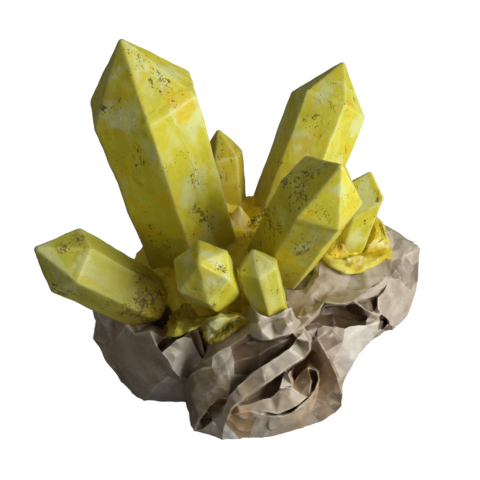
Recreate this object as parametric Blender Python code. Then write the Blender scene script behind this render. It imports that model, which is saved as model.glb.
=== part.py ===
"""A table-top cluster of painted paper crystals in a nest of crumpled paper.

Hexagonal crystals of folded card stand in sockets in a papier-mache mound.
Painted tissue is tucked round the mound's edge, and crumpled kraft paper is
wrapped round its sides down to the table.

Metres, +Z up. The origin is the middle of the mound's flat underside, on the
table. -Y is the front.
"""
from collections import namedtuple
from math import atan2, cos, radians, sin

import bmesh
import bpy
from mathutils import Matrix, Vector

MM = 0.001
GAP = 0.4 * MM            # clearance between two pieces that touch
LOOSE_FIT = 1.0           # millimetres between the mound and the loose paper round it
SIDES = 6                 # faces round a crystal

# Colour, roughness and metallic value of each finish
YELLOW_PAINT = ((0.62, 0.60, 0.07), 0.45, 0.0)
OCHRE_PAINT = ((0.50, 0.44, 0.05), 0.50, 0.0)
KRAFT_PAPER = ((0.36, 0.28, 0.20), 0.60, 0.0)

# A crystal in millimetres and degrees: foot is where its axis meets the nest, lean is from
# upright, heading is in plan from +X, and turn is about its own axis. The shaft widens from
# foot_radius to shoulder_radius (both across the corners), and the tip stands point above it.
# root is the length hidden in the socket, off_centre is the tip's place over the shaft, and
# shoulder_steps is how far each corner of the shoulder stands above the cut.
Crystal = namedtuple("Crystal", "foot lean heading turn foot_radius shoulder_radius shaft "
                     "point root off_centre shoulder_steps")
LEVEL = (0, 0, 0, 0, 0, 0)
CRYSTALS = {
    "crystal_tall_left": Crystal((-38, 7, 99), 15, 204, 160, 42, 47, 162, 54.5, 20, (1, 1), LEVEL),
    "crystal_tall_right": Crystal((41, 50, 120), 37.5, 54, 166, 32.6, 34.8, 104, 41.5, 14, (0, 0),
                                  LEVEL),
    "crystal_front_right": Crystal((31, -18, 108.5), 34, 296.5, 115.5, 28.7, 32.2, 121, 41, 12,
                                   (-2, -2), LEVEL),
    "crystal_left": Crystal((-78, -46, 90.5), 48, 211, 110, 24.2, 26.9, 89, 31.5, 12, (-1, 2), LEVEL),
    "crystal_front_stub": Crystal((-18, -62, 112), 43, 252, 92, 22, 24, 51.5, 24, 24, (-2.5, -3),
                                  (2, 2, -1, -6, 6, 0)),
    "crystal_small_front": Crystal((24, -79, 103.5), 13, 180, 149, 14.5, 16, 41.5, 17, 24, (1, 1),
                                   (0, 2, -1, 1, -1, 0)),
    "crystal_small_right": Crystal((91, 15, 107), 14, 356, 315, 17.3, 19.6, 51, 24, 16, (0, 0),
                                   (9, 0, 0, 0, 6, -14)),
    "crystal_small_rear": Crystal((-11, 60, 124), 10, 128, 15, 16.9, 19.1, 47, 24, 18, (0, 0), LEVEL),
}

# The mound, in millimetres: an oval dome over sides that draw in to a flat underside
MOUND_CENTRE = (10, 5)
MOUND_HALF_WIDTH = 115
MOUND_HALF_DEPTH = 100
MOUND_RISE_TO_REAR = 0.10          # how much higher the dome gets for each step to the rear
MOUND_SIDES = 40
MOUND_RIM_HEIGHT = 77
# Each step of the profile: its share of the half width and depth, and its height
MOUND_PROFILE = ((0.72, 0), (0.84, 18), (0.94, 44), (1.0, MOUND_RIM_HEIGHT), (0.95, 86),
                 (0.87, 95), (0.77, 104), (0.64, 112), (0.46, 118), (0.25, 121))

# Paper lumps, in millimetres, each given by the corners of its outer shape
TISSUE_FRONT = ((-62, -84, 80), (-40, -86, 97), (-29, -86, 97), (-21, -90, 101), (-10, -84, 104),
                (6, -84, 99), (12, -84, 92), (-4, -92, 86), (-21, -96, 80), (-34, -92, 82),
                (-56, -80, 92), (-40, -70, 84), (0, -70, 84), (-50, -74, 74), (8, -78, 80))
TISSUE_RIGHT = ((120, 42, 122), (127, 38, 116), (132, 28, 106), (133, 16, 99), (126, 4, 96),
                (111, -8, 95), (94, -17, 96), (80, -21, 103), (69, -15, 115), (68, 4, 121),
                (84, 30, 122), (104, 48, 120), (118, 48, 104), (100, 30, 88), (86, 0, 88))
KRAFT = {
    # name: (where its share of the wrap starts and ends, in degrees round the mound from +X,
    #        and the corners of its outer shape)
    "kraft_left": (150, 238, (
        (-100, -42, 0), (-86, -63, 0), (-47, -68, 0), (-105, 10, 0), (-95, 50, 0), (-60, 80, 0),
        (-30, -60, 0), (-118, -35, 27), (-124, -25, 36), (-124, -20, 59), (-122, 20, 32),
        (-126, 15, 62), (-110, 60, 46), (-107, -52, 79), (-81, -75, 81), (-66, -86, 83),
        (-62, -89, 70), (-45, -91, 54), (-40, -96, 60), (-119, 0, 82), (-110, 45, 64),
        (-92, 72, 54), (-30, -94, 82))),
    "kraft_front": (238, 322, (
        (-42, -94, 0), (-38, -105, 0), (-15, -116, 0), (25, -113, 0), (52, -102, 0), (67, -92, 0),
        (81, -76, 0), (87, -66, 0), (-43, -95, 48), (-41, -100, 23), (-28, -100, 70),
        (0, -118, 31), (25, -116, 29), (54, -105, 37), (-7, -113, 46), (17, -110, 66),
        (48, -100, 82), (60, -92, 82), (-20, -95, 80), (8, -93, 92), (44, -84, 98),
        (69, -62, 100), (85, -72, 27), (80, -62, 72), (104, -68, 74), (98, -72, 26),
        (92, -56, 100), (97, -64, 0))),
    "kraft_right": (322, 400, (
        (87, -65, 0), (95, -27, 0), (108, 12, 0), (118, 45, 0), (112, 75, 0), (104, -42, 36),
        (99, -22, 54), (118, -20, 38), (124, -10, 40), (142, 0, 40), (152, 10, 42),
        (157, 20, 54), (160, 30, 74), (161, 40, 94), (148, 62, 95), (131, 64, 103),
        (124, 5, 84), (98, -28, 84), (80, -45, 94), (76, -56, 98), (130, 80, 60),
        (127, 84, 86), (112, 20, 98), (104, 60, 104), (94, -64, 96), (106, -64, 74),
        (98, -70, 26), (117, -34, 82), (120, 98, 74), (116, 95, 40), (98, 80, 0))),
    "kraft_rear": (400, 510, (
        (112, 60, 0), (98, 82, 0), (70, 108, 0), (20, 120, 0), (-30, 114, 0), (-68, 92, 0),
        (-84, 66, 0), (126, 86, 40), (90, 124, 38), (30, 138, 42), (-30, 134, 40),
        (-78, 104, 34), (-104, 66, 34), (120, 88, 78), (84, 114, 76), (26, 126, 74),
        (-30, 120, 72), (-74, 96, 62), (-94, 68, 54))),
}


def paper_material(name, finish):
    """One Principled BSDF for a sub-part's finish."""
    colour, roughness, metallic = finish
    material = bpy.data.materials.new(name)
    material.use_nodes = True
    shader = material.node_tree.nodes["Principled BSDF"]
    shader.inputs["Base Color"].default_value = (*colour, 1.0)
    shader.inputs["Roughness"].default_value = roughness
    shader.inputs["Metallic"].default_value = metallic
    return material


def add_object(name, bm, finish=None):
    """Turn a bmesh into an object, with its own material if it is a sub-part."""
    bmesh.ops.triangulate(bm, faces=bm.faces)
    bmesh.ops.recalc_face_normals(bm, faces=bm.faces)
    mesh = bpy.data.meshes.new(name)
    bm.to_mesh(mesh)
    bm.free()
    part = bpy.data.objects.new(name, mesh)
    bpy.context.scene.collection.objects.link(part)
    if finish:
        mesh.materials.append(paper_material(name, finish))
    return part


def hide_cutter(cutter):
    """A cutter only takes material away, so it is left out of the object."""
    cutter.hide_render = True
    cutter.display_type = "WIRE"
    return cutter


def corner_range(part):
    """The lowest and highest corner of an object's box."""
    columns = list(zip(*(vert.co for vert in part.data.vertices)))
    return Vector(map(min, columns)), Vector(map(max, columns))


def meets(part, other):
    """Whether the boxes of two objects overlap."""
    (low, high), (other_low, other_high) = corner_range(part), corner_range(other)
    return all(low[k] < other_high[k] and other_low[k] < high[k] for k in range(3))


def cut(part, cutters):
    """Subtract each cutter that reaches the part."""
    for cutter in filter(lambda other: meets(part, other), cutters):
        modifier = part.modifiers.new("cut_" + cutter.name, "BOOLEAN")
        modifier.operation = "DIFFERENCE"
        modifier.object = cutter
        modifier.solver = "EXACT"


def standing_turn(crystal):
    """The turn that takes a crystal from upright to its lean, heading and turn."""
    heading = Matrix.Rotation(radians(crystal.heading), 3, "Z")
    lean = Matrix.Rotation(radians(crystal.lean), 3, "Y")
    turn = Matrix.Rotation(radians(crystal.turn - crystal.heading), 3, "Z")
    return heading @ lean @ turn


def crystal_shape(crystal, grow=0.0):
    """A six-sided shaft with a six-sided point, grown all round by grow millimetres."""
    taper = (crystal.shoulder_radius - crystal.foot_radius) / crystal.shaft
    root = crystal.root + grow
    bm = bmesh.new()
    corners_on_x = Matrix.Rotation(radians(180 / SIDES), 4, "Z")
    bmesh.ops.create_circle(bm, cap_ends=True, segments=SIDES, radius=1.0, matrix=corners_on_x)
    shoulder = bmesh.ops.extrude_face_region(bm, geom=bm.faces[:])["geom"]
    shoulder = [item for item in shoulder if isinstance(item, bmesh.types.BMVert)]
    for vert in bm.verts:
        height = crystal.shaft if vert in shoulder else -root
        corner = round(atan2(vert.co.y, vert.co.x) / radians(360 / SIDES)) % SIDES
        if vert in shoulder:
            height += crystal.shoulder_steps[corner]
        radius = crystal.foot_radius + taper * height + grow
        angle = radians(corner * 360 / SIDES)
        vert.co = (radius * cos(angle), radius * sin(angle), height)
    top = next(face for face in bm.faces if all(vert in shoulder for vert in face.verts))
    tip = bmesh.ops.poke(bm, faces=[top])["verts"][0]
    tip.co = (*crystal.off_centre, crystal.shaft + crystal.point + grow)
    place = Matrix.Translation(crystal.foot) @ standing_turn(crystal).to_4x4()
    bmesh.ops.transform(bm, matrix=Matrix.Scale(MM, 4) @ place, verts=bm.verts)
    return bm


def mound_shape(grow=0.0):
    """An oval dome on a drawn-in foot, grown all round by grow millimetres."""
    bm = bmesh.new()
    bmesh.ops.create_circle(bm, cap_ends=True, segments=MOUND_SIDES, radius=1.0)
    ring, edges = bm.verts[:], bm.edges[:]
    for step, (share, height) in enumerate(MOUND_PROFILE):
        if step:
            wall = bmesh.ops.extrude_edge_only(bm, edges=edges)["geom"]
            ring = [item for item in wall if isinstance(item, bmesh.types.BMVert)]
            edges = [edge for edge in bm.edges if edge.is_boundary]
        for vert in ring:
            around = vert.co.xy.normalized()
            x = around.x * (MOUND_HALF_WIDTH * share + grow)
            y = around.y * (MOUND_HALF_DEPTH * share + grow)
            rise = MOUND_RISE_TO_REAR * y * height / MOUND_RIM_HEIGHT
            lift = -grow if step == 0 else grow * (height > MOUND_RIM_HEIGHT)
            vert.co = (x, y, height + rise + lift)
    bmesh.ops.edgeloop_fill(bm, edges=edges)
    place = Matrix.Translation((*MOUND_CENTRE, 0))
    bmesh.ops.transform(bm, matrix=Matrix.Scale(MM, 4) @ place, verts=bm.verts)
    return bm


def lump_shape(corners, grow=0.0):
    """The tight skin round a list of corners, moved out from their middle by grow."""
    middle = sum((Vector(corner) for corner in corners), Vector()) / len(corners)
    bm = bmesh.new()
    for corner in corners:
        outward = (Vector(corner) - middle).normalized()
        bm.verts.new((Vector(corner) + outward * grow) * MM)
    skin = bmesh.ops.convex_hull(bm, input=bm.verts)
    inside = {item for item in skin["geom_interior"] if isinstance(item, bmesh.types.BMVert)}
    bmesh.ops.delete(bm, geom=list(inside), context="VERTS")
    return bm


def trim_to_share(bm, start, end):
    """Cut a lump off at two upright planes through the mound's middle, half a gap clear."""
    for angle, side in ((start, 1), (end, -1)):
        across = Vector((-sin(radians(angle)), cos(radians(angle)), 0)) * side
        on_plane = Vector((*MOUND_CENTRE, 0)) * MM + across * GAP
        bmesh.ops.bisect_plane(bm, geom=bm.verts[:] + bm.edges[:] + bm.faces[:], dist=1e-6,
                               plane_co=on_plane, plane_no=-across, clear_outer=True)
        bmesh.ops.edgeloop_fill(bm, edges=[edge for edge in bm.edges if edge.is_boundary])
    return bm


def build_crystals():
    """Each crystal, and a slightly larger copy of it that cuts its socket."""
    sockets = []
    for name, crystal in CRYSTALS.items():
        add_object(name, crystal_shape(crystal), YELLOW_PAINT)
        socket = add_object("socket_" + name, crystal_shape(crystal, grow=GAP / MM))
        sockets.append(hide_cutter(socket))
    return sockets


def build_mound(sockets):
    """The mound with the crystals' sockets, and the cutter that clears paper from its sides."""
    mound = add_object("mound", mound_shape(), OCHRE_PAINT)
    cut(mound, sockets)
    return hide_cutter(add_object("mound_cutter", mound_shape(grow=LOOSE_FIT)))


def build_tissue(sockets, mound_cutter):
    """Painted tissue tucked in at the front and round the small crystal on the right."""
    cutters = []
    for name, corners in (("tissue_front", TISSUE_FRONT), ("tissue_right", TISSUE_RIGHT)):
        cut(add_object(name, lump_shape(corners), OCHRE_PAINT), [mound_cutter, *sockets])
        cutter = add_object("cutter_" + name, lump_shape(corners, grow=2 * GAP / MM))
        cutters.append(hide_cutter(cutter))
    return cutters


def build_kraft(cutters):
    """The kraft wrap, one bundle of crumpled paper to each share of the way round."""
    for name, (start, end, corners) in KRAFT.items():
        bundle = trim_to_share(lump_shape(corners), start, end)
        cut(add_object(name, bundle, KRAFT_PAPER), cutters)


def build():
    for old in list(bpy.data.objects):
        bpy.data.objects.remove(old)
    sockets = build_crystals()
    mound_cutter = build_mound(sockets)
    tissue_cutters = build_tissue(sockets, mound_cutter)
    build_kraft([mound_cutter, *sockets, *tissue_cutters])


build()
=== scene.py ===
"""Looks for a table-top cluster of painted paper crystals in crumpled kraft paper.

Metres, +Z up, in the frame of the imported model. -Y is the front.
"""
from collections import namedtuple
from math import cos, exp, radians, sin
from random import Random

import bmesh
import bpy
import numpy
from mathutils import Matrix, Vector, noise
from mathutils.bvhtree import BVHTree
from mathutils.geometry import delaunay_2d_cdt, intersect_point_tri_2d


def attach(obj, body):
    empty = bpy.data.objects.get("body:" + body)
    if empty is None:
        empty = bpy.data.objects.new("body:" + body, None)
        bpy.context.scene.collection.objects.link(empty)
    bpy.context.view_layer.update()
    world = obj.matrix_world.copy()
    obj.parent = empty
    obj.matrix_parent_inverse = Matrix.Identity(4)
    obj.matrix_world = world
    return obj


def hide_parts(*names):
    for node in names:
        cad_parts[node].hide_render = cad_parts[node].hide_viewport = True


MM = 0.001
NOISE_SEED = 4                    # without it noise.noise_vector follows the clock
noise.seed_set(NOISE_SEED)
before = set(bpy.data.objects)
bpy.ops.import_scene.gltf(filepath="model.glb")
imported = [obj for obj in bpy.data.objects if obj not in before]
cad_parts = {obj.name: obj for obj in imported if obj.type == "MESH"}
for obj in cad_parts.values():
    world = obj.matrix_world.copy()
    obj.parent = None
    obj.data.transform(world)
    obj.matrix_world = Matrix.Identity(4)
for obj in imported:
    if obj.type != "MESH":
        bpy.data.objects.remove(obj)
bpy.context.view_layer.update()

# The camera: a long lens that looks down on the cluster from the front
AIM = Vector((0, 0, 122 * MM))
CAMERA_DISTANCE = 963.3 * MM
CAMERA_ELEVATION = radians(30)
LENS = 85
SENSOR = 36
FRAME_PIXELS = 480
BACK = Vector((0, -cos(CAMERA_ELEVATION), sin(CAMERA_ELEVATION)))
RIGHT = Vector((1, 0, 0))
UP = BACK.cross(RIGHT)
EYE = AIM + BACK * CAMERA_DISTANCE


def sight(across, down):
    """The direction from the camera through a place in its frame, given in pixels."""
    half = SENSOR / 2 / LENS
    middle = FRAME_PIXELS / 2
    return (RIGHT * (across / middle - 1) * half + UP * (1 - down / middle) * half - BACK).normalized()


# ---------------------------------------------------------------- materials

def linear(red, green, blue):
    """A colour from 0 to 255 as the linear values that a shader takes."""
    def channel(value):
        value /= 255
        return value / 12.92 if value <= 0.04045 else ((value + 0.055) / 1.055) ** 2.4
    return (channel(red), channel(green), channel(blue), 1.0)


def add(tree, kind, inputs=(), **settings):
    """Add a node, set its own values, and set or link its inputs."""
    node = tree.nodes.new(kind)
    for name, value in settings.items():
        setattr(node, name, value)
    for key, value in dict(inputs).items():
        if isinstance(value, bpy.types.NodeSocket):
            tree.links.new(value, node.inputs[key])
        else:
            node.inputs[key].default_value = value
    return node


def maths(tree, operation, first, second=0.0):
    """One Math node's output."""
    return add(tree, "ShaderNodeMath", {0: first, 1: second}, operation=operation).outputs[0]


def plus(tree, first, second):
    """Two values added."""
    return maths(tree, "ADD", first, second)


def times(tree, first, second):
    """Two values multiplied."""
    return maths(tree, "MULTIPLY", first, second)


def ramp(tree, value, low, high, to_low=0.0, to_high=1.0):
    """A value mapped smoothly from low..high to to_low..to_high."""
    return add(tree, "ShaderNodeMapRange",
               {"Value": value, "From Min": low, "From Max": high, "To Min": to_low,
                "To Max": to_high}, interpolation_type="SMOOTHSTEP").outputs["Result"]


def blend_colours(tree, share, first, second):
    """Two colours mixed by a share from 0 to 1."""
    return add(tree, "ShaderNodeMix", {"Factor": share, 6: first, 7: second},
               data_type="RGBA").outputs[2]


def coat(tree, under, share, strength, colour):
    """A colour laid over another one, as far as a share from 0 to 1 and a strength say."""
    return blend_colours(tree, times(tree, share, strength), under, colour)


def finish_surface(tree, shader, place, fibre, gloss, depth, strength, more_height=None):
    """Link the unevenness of hand-laid paper to a shader's roughness and bump."""
    surface = use_group(tree, SURFACE, Place=place, Fibre=fibre)
    roughness = ramp(tree, surface.outputs["Patches"], PATCH_LOW, PATCH_HIGH, *gloss)
    tree.links.new(roughness, shader.inputs["Roughness"])
    height = surface.outputs["Height"]
    if more_height is not None:
        height = plus(tree, height, more_height)
    bump = add(tree, "ShaderNodeBump", {"Height": height, "Distance": depth, "Strength": strength})
    tree.links.new(bump.outputs["Normal"], shader.inputs["Normal"])


def lay_specks(tree, shader, place, under, size, strength):
    """Lay brown dabs over a colour and link it to the shader."""
    specks = use_group(tree, SPECKS, Place=place, Density=attribute(tree, "specks"), Size=size)
    colour = coat(tree, under, specks.outputs["Mask"], strength, specks.outputs["Color"])
    tree.links.new(colour, shader.inputs["Base Color"])


def pattern(tree, place, size, detail=3.0, roughness=0.55, distortion=0.0):
    """A noise whose blotches are about size millimetres across."""
    return add(tree, "ShaderNodeTexNoise",
               {"Vector": place, "Scale": 1 / size, "Detail": detail, "Roughness": roughness,
                "Distortion": distortion}).outputs["Fac"]


def strips(tree, place, size):
    """A random value for each torn strip of paper."""
    wobble = add(tree, "ShaderNodeTexNoise", {"Vector": place, "Scale": 0.12}).outputs["Color"]
    bent = add(tree, "ShaderNodeVectorMath", {0: wobble, 1: (9, 9, 9), 2: place},
               operation="MULTIPLY_ADD").outputs[0]
    cells = add(tree, "ShaderNodeTexVoronoi", {"Vector": bent, "Scale": 1 / size}, feature="F1")
    return add(tree, "ShaderNodeSeparateColor", {"Color": cells.outputs["Color"]}).outputs["Red"]


def attribute(tree, name, output="Fac"):
    """A value kept on the mesh."""
    return add(tree, "ShaderNodeAttribute", attribute_name=name).outputs[output]


def new_group(name, sockets_in, sockets_out):
    """An empty node group with named inputs and outputs."""
    tree = bpy.data.node_groups.new(name, "ShaderNodeTree")
    for socket, kind, value in sockets_in:
        item = tree.interface.new_socket(name=socket, in_out="INPUT", socket_type=kind)
        if value is not None:
            item.default_value = value
    for socket, kind in sockets_out:
        tree.interface.new_socket(name=socket, in_out="OUTPUT", socket_type=kind)
    return tree, tree.nodes.new("NodeGroupInput").outputs, tree.nodes.new("NodeGroupOutput").inputs


SPECK_BAR = 0.938                 # the noise's height over which a speck shows where none is dense
SPECK_DROP = 0.182                # how far the bar comes down where they are densest
SPECK_EDGE = 0.035                # how soft a speck's edge is
SPECK_BROWN = linear(80, 60, 20)
SPECK_LILAC = linear(128, 102, 80)
PATCH_LOW, PATCH_HIGH = 0.3, 0.7  # the noise that is smoothest and roughest


def speck_group():
    """Dabs of brown and lilac-grey paint in clumps, thicker where the density is high."""
    tree, given, out = new_group(
        "paint_specks",
        (("Place", "NodeSocketVector", None), ("Density", "NodeSocketFloat", 0.0),
         ("Size", "NodeSocketFloat", 2.4)),
        (("Mask", "NodeSocketFloat"), ("Color", "NodeSocketColor")))
    sized = add(tree, "ShaderNodeVectorMath",
                {0: given["Place"], "Scale": maths(tree, "DIVIDE", 1.0, given["Size"])},
                operation="SCALE").outputs[0]
    clump = pattern(tree, sized, 5.0, 1.0)
    drawn_out = add(tree, "ShaderNodeMapping", {"Vector": sized, "Rotation": (0.5, 0.3, 0.6),
                                                "Scale": (1, 1, 0.5)}).outputs[0]
    fleck = pattern(tree, drawn_out, 1.1, 2.0, 0.6, 1.0)
    grain = pattern(tree, sized, 0.7, 3.0, 0.65, 0.6)
    fine = plus(tree, times(tree, fleck, 0.6), times(tree, grain, 0.5))
    level = plus(tree, times(tree, clump, 0.3), fine)
    bar = maths(tree, "SUBTRACT", SPECK_BAR, times(tree, given["Density"], SPECK_DROP))
    over = maths(tree, "SUBTRACT", level, bar)
    tree.links.new(ramp(tree, over, 0.0, SPECK_EDGE), out["Mask"])
    lilac = ramp(tree, pattern(tree, sized, 2.4, 1.0), 0.5, 0.64)
    colour = blend_colours(tree, lilac, SPECK_BROWN, SPECK_LILAC)
    tree.links.new(colour, out["Color"])
    return tree


def wear_group():
    """Soft unevenness of hand-laid paper: a height for the bump, and a share for the gloss."""
    tree, given, out = new_group(
        "paper_surface",
        (("Place", "NodeSocketVector", None), ("Fibre", "NodeSocketFloat", 0.5)),
        (("Height", "NodeSocketFloat"), ("Patches", "NodeSocketFloat")))
    broad = pattern(tree, given["Place"], 14.0, 2.0)
    fibres = pattern(tree, given["Place"], 1.6, 3.0, 0.65, 0.8)
    tree.links.new(plus(tree, broad, times(tree, fibres, given["Fibre"])), out["Height"])
    tree.links.new(pattern(tree, given["Place"], 6.0, 2.0), out["Patches"])
    return tree


SPECKS = speck_group()
SURFACE = wear_group()


def use_group(tree, group, **inputs):
    """Place a node group in a material with its own values."""
    return add(tree, "ShaderNodeGroup", inputs, node_tree=group)


def new_material(name, roughness, specular=0.5):
    """A material with its shader."""
    material = bpy.data.materials.new(name)
    material.use_nodes = True
    shader = material.node_tree.nodes["Principled BSDF"]
    shader.inputs["Roughness"].default_value = roughness
    shader.inputs["Specular IOR Level"].default_value = specular
    return material, material.node_tree, shader


LEMON_DEEP, LEMON_LIGHT = linear(208, 200, 48), linear(220, 214, 74)
KRAFT_DEEP, KRAFT_LIGHT = linear(164, 150, 130), linear(190, 178, 160)


def crystal_paint():
    """Lemon-yellow paint over handmade paper, with pale and orange patches and brown dabs, and some painted
    light and shade.
    """
    material, tree, shader = new_material("lemon_paint", 0.45, 0.4)
    place = attribute(tree, "grain", "Vector")
    streak_place = add(tree, "ShaderNodeMapping", {"Vector": place, "Scale": (1, 1, 0.5)}).outputs[0]
    strip = maths(tree, "SUBTRACT", strips(tree, streak_place, 17), 0.5)
    pale = plus(tree, pattern(tree, streak_place, 17, 3, 0.5, 0.5), attribute(tree, "pale"))
    pale = ramp(tree, plus(tree, times(tree, strip, 0.2), pale), 0.50, 0.72)
    warm = plus(tree, pattern(tree, place, 13, 3, 0.55, 0.7), attribute(tree, "warm"))
    streaks = plus(tree, pattern(tree, streak_place, 6, 3, 0.6, 0.4), times(tree, strip, 0.3))
    colour = blend_colours(tree, ramp(tree, streaks, 0.35, 0.75), LEMON_DEEP, LEMON_LIGHT)
    # pale patches, some of them painted light
    colour = coat(tree, colour, pale, 0.8, linear(216, 220, 150))
    # orange patches, some of them painted shade warming shaded facets
    colour = coat(tree, colour, ramp(tree, warm, 0.56, 0.76), 0.75, linear(220, 190, 10))
    # dull olive, partly the crystal's own paint and partly painted shade
    colour = blend_colours(tree, attribute(tree, "dull"), colour, linear(146, 146, 66))
    # browned paint at the feet, partly painted shade near the nest; painted shade over the small rear
    # crystal
    colour = coat(tree, colour, attribute(tree, "foot"), 0.7, linear(170, 146, 18))
    colour = coat(tree, colour, attribute(tree, "ridge"), 0.3, linear(222, 222, 150))
    lay_specks(tree, shader, place, colour, 2.4, 0.82)
    seams = plus(tree, times(tree, strip, 0.5), times(tree, attribute(tree, "seam"), 0.5))
    finish_surface(tree, shader, place, 0.35, (0.36, 0.58), 0.7 * MM, 0.9, seams)
    return material


def tissue_paint(name, deep, light, pale_colour, brush_colour):
    """Paint over crumpled tissue and papier-mache, streaked and dabbed with brown, and darkened by painted
    shade.
    """
    material, tree, shader = new_material(name, 0.5, 0.35)
    place = attribute(tree, "grain", "Vector")
    streak_place = add(tree, "ShaderNodeMapping", {"Vector": place, "Scale": (1, 0.3, 0.4)}).outputs[0]
    tone = maths(tree, "SUBTRACT", pattern(tree, place, 16, 3, 0.55, 0.5), attribute(tree, "warm"))
    pale = plus(tree, pattern(tree, place, 9, 3, 0.55, 0.4), attribute(tree, "pale"))
    brush = plus(tree, pattern(tree, streak_place, 1.8, 3, 0.65, 0.4), attribute(tree, "brush"))
    colour = blend_colours(tree, ramp(tree, tone, 0.36, 0.66), deep, light)
    colour = coat(tree, colour, ramp(tree, pale, 0.58, 0.78), 0.8, pale_colour)
    colour = coat(tree, colour, ramp(tree, brush, 0.60, 0.78), 0.75, brush_colour)
    # painted shade: darkened in gaps and shadows, and where the paper meets a crystal
    colour = blend_colours(tree, attribute(tree, "shade"), colour, linear(30, 22, 5))
    lay_specks(tree, shader, place, colour, 2.2, 0.85)
    finish_surface(tree, shader, place, 0.5, (0.4, 0.65), 0.9 * MM, 0.9)
    return material


def kraft_paper():
    """Smooth brown wrapping paper, pale along its creases (worn paper and painted highlight), warmer in its
    hollows (painted shade), and painted lighter or darker panel by panel.
    """
    material, tree, shader = new_material("kraft_paper", 0.5, 0.4)
    place = add(tree, "ShaderNodeVectorMath",
                {0: add(tree, "ShaderNodeTexCoord").outputs["Object"], "Scale": 1 / MM},
                operation="SCALE").outputs[0]
    tone = ramp(tree, pattern(tree, place, 30, 3), 0.35, 0.65)
    colour = blend_colours(tree, tone, KRAFT_DEEP, KRAFT_LIGHT)
    # warmer patches of paper, and painted shade that warms the hollows
    warm = ramp(tree, plus(tree, pattern(tree, place, 24, 2), attribute(tree, "warm")), 0.66, 0.94)
    warm = maths(tree, "MAXIMUM", times(tree, warm, 0.8), attribute(tree, "tan"))
    colour = blend_colours(tree, warm, colour, linear(174, 138, 88))
    # painted light and shade panel by panel: paler where a panel is lit, darker brown where it is shaded,
    # partly the paper's own tone
    blotches = times(tree, maths(tree, "SUBTRACT", tone, 0.5), 0.15)
    side = plus(tree, attribute(tree, "tone"), blotches)
    colour = blend_colours(tree, ramp(tree, side, 0.05, 1.0), colour, linear(220, 220, 212))
    brown = ramp(tree, times(tree, side, -1), 0.05, 1.0, 0, 0.9)
    colour = blend_colours(tree, brown, colour, linear(78, 54, 28))
    # painted highlight along the outward bends, partly paper worn pale there
    colour = coat(tree, colour, attribute(tree, "crease"), 0.7, linear(220, 212, 198))
    fibres = ramp(tree, pattern(tree, place, 0.9, 2, 0.6, 1.0), 0.3, 0.7)
    colour = coat(tree, colour, fibres, 0.12, linear(120, 96, 66))
    tree.links.new(colour, shader.inputs["Base Color"])
    finish_surface(tree, shader, place, 0.16, (0.38, 0.56), 0.7 * MM, 0.7)
    return material


# ---------------------------------------------------------------- meshes

def faceted_copy(node):
    """A CAD crystal's shape as a bmesh, with its triangles joined into whole facets."""
    bm = bmesh.new()
    bm.from_mesh(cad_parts[node].data)
    bmesh.ops.remove_doubles(bm, verts=bm.verts, dist=MERGED)
    bmesh.ops.dissolve_limit(bm, angle_limit=CORNER_ANGLE, verts=bm.verts, edges=bm.edges)
    return bm


def tree_of(*nodes):
    """A search tree over the shapes of CAD nodes."""
    joined = bmesh.new()
    for node in nodes:
        joined.from_mesh(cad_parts[node].data)
    found = BVHTree.FromBMesh(joined)
    joined.free()
    return found


def keep_values(bm, name, values):
    """Store a value for each vertex, or a vector, for the material to read."""
    is_vector = len(values) and isinstance(values[0], Vector)
    layers = bm.verts.layers.float_vector if is_vector else bm.verts.layers.float
    layer = layers.get(name) or layers.new(name)
    for vert, value in zip(bm.verts, values):
        vert[layer] = value


def finish_piece(name, bm, material, nodes):
    """Turn a bmesh into a piece that rides on the cluster and stands for its CAD nodes."""
    mesh = bpy.data.meshes.new(name)
    bm.to_mesh(mesh)
    bm.free()
    mesh.materials.append(material)
    mesh.shade_smooth()
    piece = bpy.data.objects.new(name, mesh)
    bpy.context.scene.collection.objects.link(piece)
    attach(piece, "root")
    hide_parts(*nodes)
    return piece


def put_in_order(bm):
    """Order the vertices, edges and faces by where they are, so that each run is the same."""
    ranks = {vert: rank for rank, vert in enumerate(sorted(bm.verts, key=lambda vert: tuple(vert.co)))}
    bm.verts.sort(key=ranks.get)
    for parts in (bm.edges, bm.faces):
        ordered = sorted(parts, key=lambda part: sorted(ranks[vert] for vert in part.verts))
        places = {part: place for place, part in enumerate(ordered)}
        parts.sort(key=places.get)


def grow(bm, rim):
    """Extrude the edges of a rim and return the new vertices."""
    grown = bmesh.ops.extrude_edge_only(bm, edges=rim)["geom"]
    return [item for item in grown if isinstance(item, bmesh.types.BMVert)]


def split_long_edges(bm, longest):
    """Halve the edges that are longer than longest until none is."""
    for _ in range(8):
        put_in_order(bm)
        long_edges = [edge for edge in bm.edges if edge.calc_length() > longest]
        if not long_edges:
            return
        bmesh.ops.subdivide_edges(bm, edges=long_edges, cuts=1, use_grid_fill=True)
        bmesh.ops.triangulate(bm, faces=[face for face in bm.faces if len(face.verts) > 4])


def soft_noise(point, size, shift=(0, 0, 0)):
    """A smooth random number, from -1 to 1, that changes over about size millimetres."""
    return noise.noise(point / (size * MM) + Vector(shift))


def wander(point, size, seed):
    """A smooth random offset that changes over about size millimetres."""
    return noise.noise_vector(point / (size * MM) + Vector((seed * 7.3, seed * 3.1, seed * 5.7)))


# ---------------------------------------------------------------- crystals

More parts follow.
